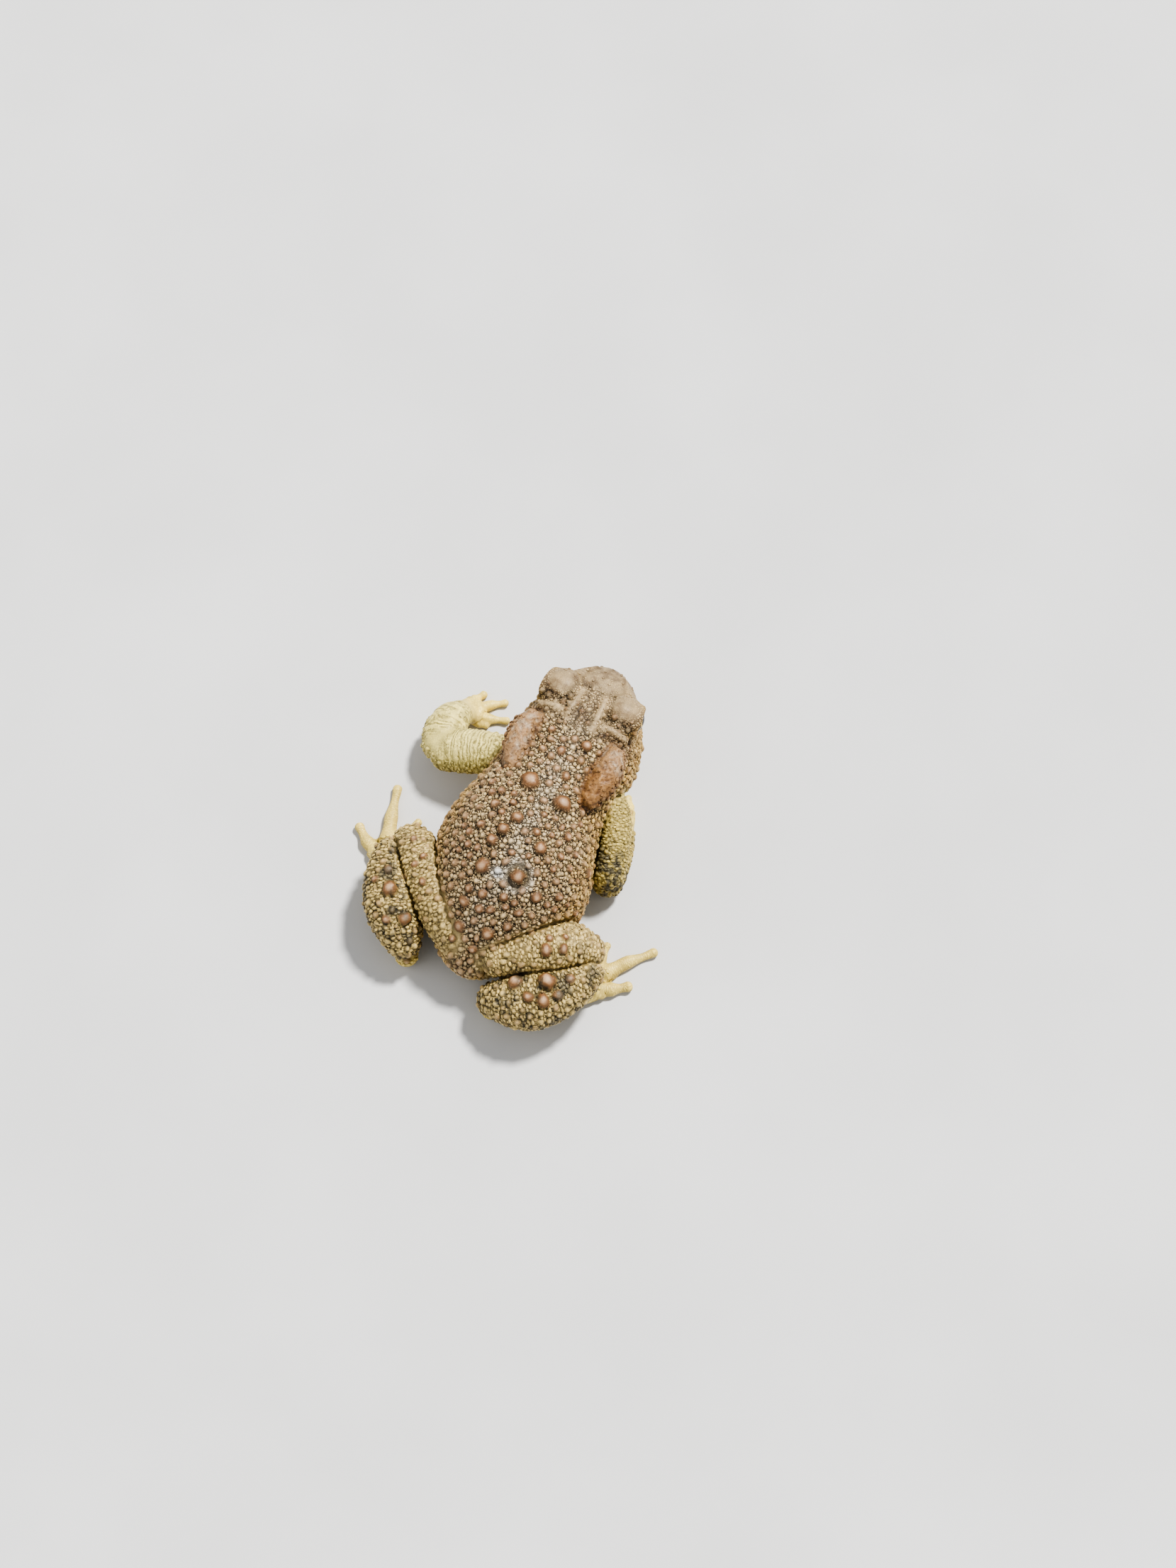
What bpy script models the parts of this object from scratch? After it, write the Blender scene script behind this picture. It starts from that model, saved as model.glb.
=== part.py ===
"""American toad, a large adult at life size, sitting low with all four limbs folded in.

Lengths are in millimetres, and MM turns them into Blender's metres where a mesh is made.
The toad faces -Y, its left side is +X, up is +Z, and it rests on the plane z = 0.
"""

import math
import random

import bmesh
import bpy
from mathutils import Matrix, Vector
from mathutils.bvhtree import BVHTree

MM = 0.001
UP = Vector((0.0, 0.0, 1.0))
GAP = 0.3                    # clear space between two neighbouring pieces
SEED = 7
TO_CENTRE = (-2.17, -8.0)    # puts the middle of the finished toad's box over the origin

# Trunk and head as one loft, from the snout back to the vent. Each station:
# y, x of the middle, half width, top, height of the widest point, underside, roundness above, roundness below
TRUNK = (
    (-39.3, 0.0, 0.4, 19.8, 18.3, 17.2, 2.0, 2.0),
    (-38.8, 0.0, 3.2, 22.0, 17.6, 14.0, 2.1, 2.0),
    (-37.6, 0.0, 5.8, 24.2, 17.0, 11.8, 2.0, 2.0),
    (-35.5, 0.0, 8.2, 26.1, 16.6, 10.0, 2.0, 2.0),
    (-32.3, 0.0, 10.8, 28.2, 16.2, 8.8, 2.0, 2.0),
    (-28.0, 0.0, 13.2, 30.0, 15.8, 7.8, 2.0, 2.0),
    (-22.0, 0.0, 15.6, 31.4, 15.4, 6.8, 2.1, 2.0),
    (-15.0, 0.1, 16.5, 31.8, 15.0, 5.4, 2.3, 2.1),
    (-8.0, 0.6, 15.9, 32.2, 15.0, 3.4, 2.3, 2.3),
    (0.0, 1.5, 16.7, 33.0, 14.0, 1.0, 2.3, 2.5),
    (8.0, 2.0, 18.9, 33.8, 13.0, -0.4, 2.2, 2.8),
    (16.0, 1.4, 20.5, 33.4, 12.4, -0.6, 2.1, 3.0),
    (24.0, 0.9, 20.2, 31.4, 12.0, -0.6, 2.0, 3.0),
    (32.0, 0.9, 17.2, 27.4, 11.4, -0.4, 2.0, 2.8),
    (39.0, 1.1, 13.0, 21.8, 10.4, 0.6, 2.0, 2.4),
    (44.0, 1.2, 8.8, 16.8, 9.6, 2.8, 2.0, 2.0),
    (47.2, 1.2, 4.6, 13.0, 9.4, 5.8, 2.0, 2.0),
    (48.4, 1.2, 0.6, 10.4, 9.6, 9.0, 2.0, 2.0),
)
TRUNK_SIDES = 30
NECK_TOP = (-17.2, 32.0)     # y and z where the head ends above
NECK_LOW = (-13.4, 8.0)      # and below
# y and z along the mouth, carried on past the head at both ends
MOUTH_LINE = (
    (-60.0, 14.9), (-41.0, 14.7), (-36.0, 13.7), (-30.0, 13.0), (-24.0, 12.9), (-18.0, 12.2), (5.0, 11.0),
)
JAW_INSET = 0.55             # how far the lower jaw lies inside the upper lip

EYE_CENTRE = (9.5, -26.4, 26.6)
EYE_RADIUS = 4.4
LID_CENTRE = (8.4, -26.2, 26.8)
LID_RADII = (5.7, 5.9, 5.5)
LID_OPENING_CENTRE = (15.4, -26.8, 26.2)
LID_OPENING_RADII = (5.4, 4.3, 3.3)
NOSTRIL_CENTRE = (3.1, -37.2, 23.3)
NOSTRIL_RADII = (0.6, 1.0, 0.7)
EARDRUM_PLACE = (-19.4, 20.6)     # y and z of the shallow dish of the eardrum, on the side of the head
EARDRUM_RADII = (0.9, 1.7, 1.9)
EARDRUM_DEPTH = 0.35
# Ridges of the head: stations of x, y, z, half width, half height
BROW_RIDGE = ((3.4, -26.6, 30.4, 0.9, 1.4), (3.6, -22.4, 31.2, 1.4, 2.0), (3.5, -18.4, 31.0, 1.1, 1.7))
REAR_RIDGE = ((4.4, -20.0, 30.4, 1.0, 1.6), (8.2, -20.6, 29.6, 1.2, 1.9), (11.6, -20.4, 27.2, 1.0, 1.5))
SNOUT_RIDGE = ((3.5, -36.6, 23.8, 0.8, 0.8), (5.7, -34.2, 24.8, 1.1, 1.1), (8.0, -31.3, 26.0, 1.3, 1.4))
LIP_STATIONS = (-17.0, -20.5, -25.0, -29.0, -32.5, -35.3, -37.4)   # y, from the corner of the mouth to the snout
LIP_RADIUS = 1.0
LIP_HEIGHT = 1.2             # above the line of the mouth
LIP_OUT = 0.35               # how far the lip's middle stands outside the cheek
# Blending of a joined form: grid size, smoothing passes, triangles left
HEAD_BLEND = (0.5, 5, 2000)
TORSO_BLEND = (0.7, 5, 1500)
# Gland behind each eye, on the shoulder
GLAND_LEFT = (
    (11.8, -16.0, 28.4, 2.6, 2.4),
    (12.3, -12.0, 28.6, 3.8, 3.3),
    (11.9, -7.0, 28.8, 3.7, 3.2),
    (11.3, -2.6, 29.4, 2.5, 2.4),
)
GLAND_RIGHT = (
    (-11.4, -15.8, 28.4, 2.6, 2.4),
    (-11.8, -11.6, 28.7, 3.9, 3.4),
    (-11.4, -6.2, 28.9, 4.0, 3.4),
    (-10.9, -1.6, 29.2, 2.7, 2.5),
)

# Limbs, each from its root to its end: x, y, z, half width, half height
LIMBS = {
    "thigh_left": (
        (6.5, 39.5, 13.0, 6.2, 6.0),
        (12.5, 34.8, 13.8, 7.2, 7.0),
        (18.6, 29.9, 13.8, 7.2, 7.0),
        (24.4, 25.3, 12.8, 6.4, 6.2),
        (27.8, 23.0, 11.8, 5.2, 5.2),
    ),
    "thigh_right": (
        (-5.8, 40.4, 13.0, 6.2, 6.0),
        (-11.8, 36.2, 13.8, 7.6, 7.0),
        (-18.0, 32.6, 13.8, 7.6, 7.0),
        (-23.0, 30.6, 12.8, 6.2, 6.2),
        (-25.6, 30.0, 11.8, 5.0, 5.2),
    ),
    "shank_left": (
        (30.4, 27.4, 11.0, 5.0, 5.0),
        (28.6, 32.6, 11.6, 6.6, 5.8),
        (24.6, 38.8, 11.6, 7.7, 6.2),
        (20.8, 43.6, 10.4, 6.7, 5.4),
        (18.0, 46.8, 8.2, 4.5, 4.4),
    ),
    "shank_right": (
        (-27.2, 34.4, 11.0, 5.0, 5.0),
        (-24.6, 39.8, 11.4, 6.8, 5.8),
        (-18.6, 46.2, 11.2, 8.3, 6.2),
        (-12.6, 49.2, 9.8, 6.8, 5.4),
        (-8.8, 50.4, 7.8, 4.4, 4.4),
    ),
    "foot_left": (
        (16.6, 48.4, 3.4, 3.0, 3.2),
        (21.4, 41.2, 2.8, 3.4, 2.8),
        (27.0, 33.4, 2.4, 4.0, 2.5),
        (32.0, 27.0, 1.8, 5.0, 2.1),
        (34.4, 24.2, 1.4, 5.2, 1.6),
    ),
    "foot_right": (
        (-8.6, 51.4, 3.4, 3.0, 3.2),
        (-15.2, 46.8, 2.8, 3.4, 2.8),
        (-22.0, 41.0, 2.4, 4.0, 2.5),
        (-27.0, 35.4, 1.8, 5.0, 2.1),
        (-28.8, 32.6, 1.4, 5.2, 1.6),
    ),
    "upper_arm_left": (
        (14.6, -8.2, 13.2, 5.2, 5.6),
        (20.8, -7.4, 12.4, 5.6, 5.5),
        (27.0, -5.8, 10.6, 5.8, 5.2),
        (31.6, -4.6, 8.6, 5.4, 4.8),
    ),
    "upper_arm_right": (
        (-12.6, -8.4, 14.0, 4.8, 5.6),
        (-16.0, -4.2, 13.2, 4.9, 5.6),
        (-18.8, 2.0, 11.4, 4.7, 5.2),
        (-20.8, 8.0, 9.0, 4.4, 4.6),
    ),
    "forearm_left": (
        (33.2, -5.4, 7.8, 5.2, 5.0),
        (34.4, -9.8, 7.2, 5.5, 5.2),
        (34.4, -14.0, 5.8, 4.8, 4.3),
        (33.2, -17.4, 4.0, 3.6, 3.1),
    ),
    "forearm_right": (
        (-21.0, 8.8, 5.6, 4.2, 4.4),
        (-20.4, 3.6, 4.6, 4.1, 4.1),
        (-19.4, -2.0, 3.9, 3.7, 3.5),
        (-18.2, -6.6, 3.0, 2.9, 2.7),
    ),
    "hand_left": (
        (32.8, -18.0, 3.2, 3.2, 2.6),
        (31.8, -19.6, 2.5, 3.5, 2.1),
        (30.9, -20.4, 1.9, 3.0, 1.6),
    ),
    "hand_right": (
        (-18.0, -7.4, 2.5, 2.8, 2.3),
        (-16.8, -9.4, 2.1, 3.3, 1.9),
        (-15.8, -10.8, 1.8, 3.0, 1.6),
    ),
}
# Digits, each from its root past its middle joint to its tip: x and y, then radius at the root and near the tip
DIGITS = {
    "finger_1_left": ((30.6, -18.0), (28.6, -17.4), (26.6, -17.8), 1.15, 0.9),
    "finger_2_left": ((30.2, -19.2), (26.4, -19.8), (22.4, -21.3), 1.35, 1.05),
    "finger_3_left": ((30.6, -21.0), (27.8, -23.6), (24.9, -25.6), 1.35, 1.05),
    "finger_4_left": ((32.6, -20.6), (32.4, -22.9), (31.0, -25.3), 1.45, 1.1),
    "finger_1_right": ((-15.8, -9.0), (-14.0, -8.2), (-12.0, -8.4), 1.1, 0.9),
    "finger_2_right": ((-15.2, -10.6), (-12.8, -10.9), (-9.4, -11.8), 1.25, 1.0),
    "finger_3_right": ((-15.8, -11.6), (-14.0, -14.0), (-11.0, -16.2), 1.3, 1.0),
    "finger_4_right": ((-17.2, -11.2), (-16.8, -13.6), (-15.4, -15.8), 1.3, 1.0),
    "toe_1_left": ((30.6, 26.0), (28.0, 24.8), (25.8, 23.0), 1.15, 0.9),
    "toe_2_left": ((31.6, 23.8), (29.4, 21.0), (28.0, 18.2), 1.25, 1.0),
    "toe_3_left": ((33.6, 22.2), (32.4, 18.0), (30.6, 13.8), 1.45, 1.05),
    "toe_4_left": ((35.4, 22.0), (37.6, 15.4), (39.6, 8.0), 1.9, 1.25),
    "toe_5_left": ((36.4, 26.0), (40.2, 24.4), (43.8, 21.6), 1.8, 1.3),
    "toe_1_right": ((-24.6, 32.6), (-23.4, 30.2), (-22.8, 27.6), 1.15, 0.9),
    "toe_2_right": ((-26.4, 30.6), (-25.4, 27.6), (-24.6, 24.6), 1.25, 1.0),
    "toe_3_right": ((-28.2, 29.8), (-28.0, 26.2), (-27.8, 22.8), 1.4, 1.05),
    "toe_4_right": ((-30.2, 30.4), (-34.6, 24.6), (-39.4, 19.4), 1.9, 1.25),
    "toe_5_right": ((-30.6, 34.6), (-34.0, 33.0), (-37.4, 30.5), 1.9, 1.4),
}

WEB_REACH = 0.42             # how far along each toe the web holds on
WEB_DIP = 0.35               # how far its edge curves back between two toes
WEB_HEIGHT = 0.8

# Warts that show well on the real animal: x, y and diameter, each dropped onto the node from above
WARTS = {
    "torso": (
        (3.9, 1.4, 4.6), (-5.5, 3.1, 4.6), (5.3, 25.9, 3.9), (4.4, 15.8, 3.4), (-3.9, 24.7, 3.3),
        (2.6, 11.8, 3.2), (-5.8, 16.1, 3.2), (5.2, 39.8, 3.2), (-2.2, 38.8, 3.2), (6.3, 34.7, 3.0),
        (5.9, 19.3, 2.9), (-4.4, -13.6, 2.8), (-9.8, 26.7, 2.8), (-6.0, 35.5, 2.6), (-3.3, -3.8, 2.5),
        (10.3, 16.6, 2.5), (9.3, 10.6, 2.5), (6.4, 31.6, 2.5), (2.6, 31.7, 2.5), (-2.6, 30.2, 2.5),
        (1.9, 34.9, 2.5), (-10.3, 9.8, 2.5), (-17.4, 13.3, 2.5), (0.7, -9.6, 2.5), (-14.4, 23.4, 2.4),
        (0.0, 43.1, 2.3), (-3.4, 13.0, 2.2), (12.4, 19.0, 2.2), (-7.4, 31.7, 2.2), (-0.7, 34.2, 2.2),
        (5.5, -14.0, 2.1), (-13.9, 16.1, 2.1), (11.3, 22.1, 2.1), (-5.5, 30.4, 2.1), (9.5, 6.7, 2.1),
        (12.9, 5.0, 2.1), (11.6, 7.7, 2.1), (6.8, 12.0, 1.9), (8.6, 22.3, 1.9), (-12.8, 26.6, 1.9),
        (5.3, 8.6, 1.8), (-13.6, 12.2, 1.8),
    ),
    "shank_right": (
        (-20.5, 42.7, 4.8), (-13.2, 45.8, 3.9), (-21.6, 47.4, 3.4), (-24.4, 44.6, 2.7), (-17.9, 48.3, 2.7),
        (-25.3, 39.5, 2.6),
    ),
    "thigh_right": (
        (-17.1, 36.2, 3.1), (-20.8, 34.0, 2.4), (-16.6, 33.2, 1.9), (-19.9, 31.0, 1.8),
    ),
    "shank_left": (
        (25.9, 37.9, 3.9), (19.4, 42.8, 3.2), (23.5, 45.1, 2.3), (28.6, 33.4, 2.3), (30.6, 37.0, 1.9),
    ),
    "thigh_left": (
        (18.8, 33.4, 2.0), (21.7, 27.2, 1.9), (22.8, 29.8, 1.9), (26.4, 23.5, 1.8),
    ),
}
# Smaller warts drawn at random over a node:
# how many, smallest and largest diameter, lowest height, foremost y
SMALL_WARTS = {
    "torso": (22, 1.6, 2.2, 9.0, -90.0),
    "head": (7, 1.4, 1.8, 16.0, -27.0),
    "shank_right": (4, 1.5, 2.0, 7.0, -90.0),
    "shank_left": (4, 1.5, 2.0, 7.0, -90.0),
    "thigh_right": (3, 1.5, 1.9, 9.0, -90.0),
    "thigh_left": (3, 1.5, 1.9, 9.0, -90.0),
    "upper_arm_left": (3, 1.5, 1.9, 8.0, -90.0),
    "upper_arm_right": (3, 1.5, 1.9, 8.0, -90.0),
    "forearm_left": (3, 1.5, 1.9, 5.0, -90.0),
}
WART_RISE = 0.32             # height above the skin, as a share of the diameter
WART_HALF_DEPTH = 0.42       # half of the buried oval's own height, likewise
WART_SPACE = 0.25            # clear skin kept between two warts
WART_CLEAR = 0.5             # and between a wart and the next node

SKIN_COLOURS = {
    "back": (0.30, 0.19, 0.10),
    "limb": (0.34, 0.28, 0.13),
    "digit": (0.55, 0.45, 0.22),
    "jaw": (0.62, 0.52, 0.34),
    "eye": (0.20, 0.13, 0.03),
}


# Small tools

def new_collection(name, hidden=False):
    made = bpy.data.collections.new(name)
    bpy.context.scene.collection.children.link(made)
    made.hide_render = hidden
    return made


def new_material(name, colour, roughness):
    made = bpy.data.materials.new(name)
    made.use_nodes = True
    shader = made.node_tree.nodes["Principled BSDF"]
    shader.inputs["Base Color"].default_value = (*colour, 1.0)
    shader.inputs["Roughness"].default_value = roughness
    return made


def to_object(name, bm, collection):
    """The bmesh, given in millimetres, as an object of closed faces that point outwards."""
    bmesh.ops.scale(bm, vec=(MM, MM, MM), verts=bm.verts)
    bmesh.ops.recalc_face_normals(bm, faces=bm.faces)
    mesh = bpy.data.meshes.new(name)
    bm.to_mesh(mesh)
    bm.free()
    made = bpy.data.objects.new(name, mesh)
    collection.objects.link(made)
    if collection.hide_render:
        made.hide_render = True
        made.display_type = "WIRE"
    return made


def smoothed(stations, steps):
    """Catmull-Rom stations between the named ones, so that a few of them give an even form."""
    padded = [stations[0], *stations, stations[-1]]
    made = []
    for a, b, c, d in zip(padded, padded[1:], padded[2:], padded[3:]):
        for step in range(steps):
            t = step / steps
            weights = (
                -0.5 * t + t * t - 0.5 * t ** 3,
                1.0 - 2.5 * t * t + 1.5 * t ** 3,
                0.5 * t + 2.0 * t * t - 1.5 * t ** 3,
                -0.5 * t * t + 0.5 * t ** 3,
            )
            made.append(tuple(sum(w * p for w, p in zip(weights, four)) for four in zip(a, b, c, d)))
    made.append(tuple(stations[-1]))
    return made


def lofted(name, rings, collection):
    """A closed form through rings of points, each with the same count."""
    bm = bmesh.new()
    rows = [[bm.verts.new(point) for point in ring] for ring in rings]
    for low, high in zip(rows, rows[1:]):
        for i in range(len(low)):
            j = (i + 1) % len(low)
            bm.faces.new((low[i], low[j], high[j], high[i]))
    bm.faces.new(reversed(rows[0]))
    bm.faces.new(rows[-1])
    return to_object(name, bm, collection)


def applied(piece):
    """Replaces the piece's mesh by what its modifiers make of it."""
    graph = bpy.context.evaluated_depsgraph_get()
    mesh = bpy.data.meshes.new_from_object(piece.evaluated_get(graph))
    piece.modifiers.clear()
    piece.data = mesh
    return piece


def joined(piece, others):
    """Fuses the piece with a list of closed forms in one union."""
    group = bpy.data.collections.new("to_join")
    for other in others:
        group.objects.link(other)
    union = piece.modifiers.new("Join", "BOOLEAN")
    union.operation = "UNION"
    union.solver = "EXACT"
    union.operand_type = "COLLECTION"
    union.collection = group
    applied(piece)
    for other in others:
        bpy.data.objects.remove(other)
    bpy.data.collections.remove(group)
    return piece


def blended(piece, grid, passes, triangles):
    """Rounds the creases of a joined form as flesh does, then keeps only the triangles that its shape needs."""
    remesh = piece.modifiers.new("Blend", "REMESH")
    remesh.mode = "VOXEL"
    remesh.voxel_size = grid * MM
    smooth = piece.modifiers.new("Soften", "SMOOTH")
    smooth.factor = 0.5
    smooth.iterations = passes
    applied(piece)
    thin = piece.modifiers.new("Thin", "DECIMATE")
    thin.ratio = min(1.0, triangles / (2.0 * len(piece.data.polygons)))
    return applied(piece)


def combined(piece, other, operation, solver="EXACT", discard=True):
    """Joins the other piece to this one, or cuts it away."""
    boolean = piece.modifiers.new(operation.title(), "BOOLEAN")
    boolean.operation = operation
    boolean.solver = solver
    boolean.object = other
    applied(piece)
    if discard:
        bpy.data.objects.remove(other)
    return piece


def keep_largest_shell(piece):
    """Removes the crumbs that a cut can leave beside the main closed surface."""
    bm = bmesh.new()
    bm.from_mesh(piece.data)
    left = set(bm.verts)
    shells = []
    while left:
        stack = [left.pop()]
        shell = set(stack)
        while stack:
            for edge in stack.pop().link_edges:
                for vert in edge.verts:
                    if vert not in shell:
                        shell.add(vert)
                        stack.append(vert)
        left -= shell
        shells.append(shell)
    largest = max(shells, key=len)
    bmesh.ops.delete(bm, geom=[v for v in bm.verts if v not in largest], context="VERTS")
    bmesh.ops.triangulate(bm, faces=bm.faces)
    bm.to_mesh(piece.data)
    bm.free()
    return piece


def block(name, low, high, collection):
    """A box between two corners."""
    bm = bmesh.new()
    bmesh.ops.create_cube(bm, size=1.0)
    size = [h - l for l, h in zip(low, high)]
    middle = [(h + l) / 2 for l, h in zip(low, high)]
    bmesh.ops.scale(bm, vec=size, verts=bm.verts)
    bmesh.ops.translate(bm, vec=middle, verts=bm.verts)
    return to_object(name, bm, collection)


def ellipsoid(name, centre, radii, collection, segments=24, rings=16):
    bm = bmesh.new()
    bmesh.ops.create_uvsphere(bm, u_segments=segments, v_segments=rings, radius=1.0)
    bmesh.ops.scale(bm, vec=radii, verts=bm.verts)
    bmesh.ops.translate(bm, vec=centre, verts=bm.verts)
    return to_object(name, bm, collection)


def side_profile(name, outline, half_width, collection):
    """A slab with the given outline of y and z, drawn across the toad."""
    bm = bmesh.new()
    verts = [bm.verts.new((-half_width, y, z)) for y, z in outline]
    face = bm.faces.new(verts)
    pushed = bmesh.ops.extrude_face_region(bm, geom=[face])
    moved = [part for part in pushed["geom"] if isinstance(part, bmesh.types.BMVert)]
    bmesh.ops.translate(bm, vec=(2 * half_width, 0.0, 0.0), verts=moved)
    return to_object(name, bm, collection)


# Forms

def trunk(name, collection, grow=0.0):
    """Head and body in one, as rings across the toad, rounder or squarer by each station's own numbers."""
    rings = []
    for y, middle, half, top, side, low, above, below in smoothed(TRUNK, 2):
        ring = []
        for i in range(TRUNK_SIDES):
            angle = 2 * math.pi * i / TRUNK_SIDES
            c = math.cos(angle)
            s = math.sin(angle)
            power = 2.0 / (above if s > 0 else below)
            reach = (top - side if s > 0 else side - low) + grow
            x = (max(half, 0.3) + grow) * math.copysign(abs(c) ** power, c)
            ring.append((middle + x, y, side + reach * math.copysign(abs(s) ** power, s)))
        rings.append(ring)
    if grow:
        front = [(x, y - grow, z) for x, y, z in rings[0]]
        back = [(x, y + grow, z) for x, y, z in rings[-1]]
        rings = [front, *rings, back]
    return lofted(name, rings, collection)


def limb(name, stations, collection, sides=12, steps=2, grow=0.0):
    """A tapering form of oval rings square to its path, with a rounded cap past each end."""
    path = smoothed(stations, steps)
    rings = []
    for i, (x, y, z, half_width, half_height) in enumerate(path):
        before = Vector(path[max(i - 1, 0)][:3])
        after = Vector(path[min(i + 1, len(path) - 1)][:3])
        along = (after - before).normalized()
        across = along.cross(UP).normalized()
        lift = across.cross(along).normalized()
        turns = [0.0]
        if i == 0:
            turns = [-72.0, -38.0, 0.0]
        if i == len(path) - 1:
            turns = [0.0, 38.0, 72.0]
        for turn in turns:
            shrink = math.cos(math.radians(turn))
            reach = 0.85 * min(half_width, half_height) + grow
            centre = Vector((x, y, z)) + along * reach * math.sin(math.radians(turn))
            rings.append([
                centre
                + across * (half_width + grow) * shrink * math.cos(2 * math.pi * k / sides)
                + lift * (half_height + grow) * shrink * math.sin(2 * math.pi * k / sides)
                for k in range(sides)
            ])
    return lofted(name, rings, collection)


def digit(name, root, knuckle, tip, thick, thin, collection, grow=0.0):
    """A finger or toe on the floor, slightly swollen at its middle joint and at its tip."""
    stations = (
        (*root, thick * 0.9, thick, thick),
        (*[(a + b) / 2 for a, b in zip(root, knuckle)], thick * 0.86, thick * 0.9, thick * 0.92),
        (*knuckle, (thick + thin) * 0.44, (thick + thin) * 0.5, (thick + thin) * 0.5),
        (*[(a + b) / 2 for a, b in zip(knuckle, tip)], thin * 0.86, thin * 0.9, thin * 0.92),
        (*tip, thin * 0.9, thin, thin),
    )
    return limb(name, stations, collection, sides=7, steps=1, grow=grow)


def web(toe_a, toe_b, collection):
    """The thin skin between the roots of two toes, with a hollow front edge."""
    spread = []
    for root, knuckle, tip, *_ in (toe_a, toe_b):
        root, tip = Vector(root), Vector(tip)
        spread.append((root, root.lerp(tip, WEB_REACH)))
    (root_a, hold_a), (root_b, hold_b) = spread
    dip = ((hold_a + hold_b) / 2).lerp((root_a + root_b) / 2, WEB_DIP)
    bm = bmesh.new()
    face = bm.faces.new([bm.verts.new((x, y, -0.4)) for x, y in (root_a, hold_a, dip, hold_b, root_b)])
    pushed = bmesh.ops.extrude_face_region(bm, geom=[face])
    moved = [part for part in pushed["geom"] if isinstance(part, bmesh.types.BMVert)]
    bmesh.ops.translate(bm, vec=(0.0, 0.0, WEB_HEIGHT + 0.4), verts=moved)
    return to_object("web", bm, collection)


def wart(place, normal, diameter, collection):
    """A low dome on the skin, with its root well under it. place is in metres."""
    many = diameter > 2.6
    bm = bmesh.new()
    bmesh.ops.create_uvsphere(bm, u_segments=9 if many else 7, v_segments=6 if many else 4, radius=1.0)
    bmesh.ops.scale(bm, vec=(diameter / 2, diameter / 2, diameter * WART_HALF_DEPTH), verts=bm.verts)
    bmesh.ops.rotate(bm, cent=(0, 0, 0), matrix=normal.to_track_quat("Z", "X").to_matrix(), verts=bm.verts)
    sunk = place / MM - normal * diameter * (WART_HALF_DEPTH - WART_RISE)
    bmesh.ops.translate(bm, vec=sunk, verts=bm.verts)
    return to_object("wart", bm, collection)


def mirrored(stations):
    return [(-x, *rest) for x, *rest in stations]


def trunk_half_width(y, z):
    """How far the trunk reaches sideways at this place along and above it."""
    stations = smoothed(TRUNK, 2)
    for near, far in zip(stations, stations[1:]):
        if near[0] <= y <= far[0]:
            t = (y - near[0]) / (far[0] - near[0])
            _, _, half, top, side, low, above, below = [a + t * (b - a) for a, b in zip(near, far)]
            reach, power = (top - side, above) if z > side else (side - low, below)
            return half * max(0.0, 1.0 - (abs(z - side) / reach) ** power) ** (1.0 / power)
    return 0.0


def mouth_height(y):
    for (y0, z0), (y1, z1) in zip(MOUTH_LINE, MOUTH_LINE[1:]):
        if y0 <= y <= y1:
            return z0 + (z1 - z0) * (y - y0) / (y1 - y0)
    return MOUTH_LINE[-1][1]


def lip_path():
    """Stations of the upper lip, from the left corner of the mouth round the snout to the right one."""
    left = []
    for y in LIP_STATIONS:
        z = mouth_height(y) + LIP_HEIGHT
        left.append((trunk_half_width(y, z) - LIP_RADIUS + LIP_OUT, y, z, LIP_RADIUS, LIP_RADIUS))
    front = (0.0, TRUNK[0][0] + LIP_RADIUS - LIP_OUT, mouth_height(-41.0) + LIP_HEIGHT, LIP_RADIUS, LIP_RADIUS)
    right = [(-x, *rest) for x, *rest in reversed(left)]
    return [*left, front, *right]


def neck_line(offset):
    """Two far points on the cut between head and body, moved back by offset."""
    slope = (NECK_LOW[0] - NECK_TOP[0]) / (NECK_LOW[1] - NECK_TOP[1])
    return [(NECK_TOP[0] + slope * (z - NECK_TOP[1]) + offset, z) for z in (60.0, -30.0)]


def behind_neck(name, offset, collection):
    high, low = neck_line(offset)
    return side_profile(name, [high, low, (90.0, -30.0), (90.0, 60.0)], 60.0, collection)


def before_neck(name, offset, collection):
    high, low = neck_line(offset)
    return side_profile(name, [high, (-90.0, 60.0), (-90.0, -30.0), low], 60.0, collection)


def under_mouth(name, offset, collection):
    line = [(y, z + offset) for y, z in MOUTH_LINE]
    return side_profile(name, [*line, (5.0, -30.0), (-60.0, -30.0)], 60.0, collection)


def over_mouth(name, offset, collection):
    line = [(y, z + offset) for y, z in MOUTH_LINE]
    return side_profile(name, [*line, (5.0, 60.0), (-60.0, 60.0)], 60.0, collection)


# Named parts

def make_torso(parts, cutters):
    torso = trunk("torso", parts)
    joined(torso, [limb("gland", stations, cutters, sides=12) for stations in (GLAND_LEFT, GLAND_RIGHT)])
    blended(torso, *TORSO_BLEND)
    return combined(torso, before_neck("neck_front", GAP / 2, cutters), "DIFFERENCE")


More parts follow.
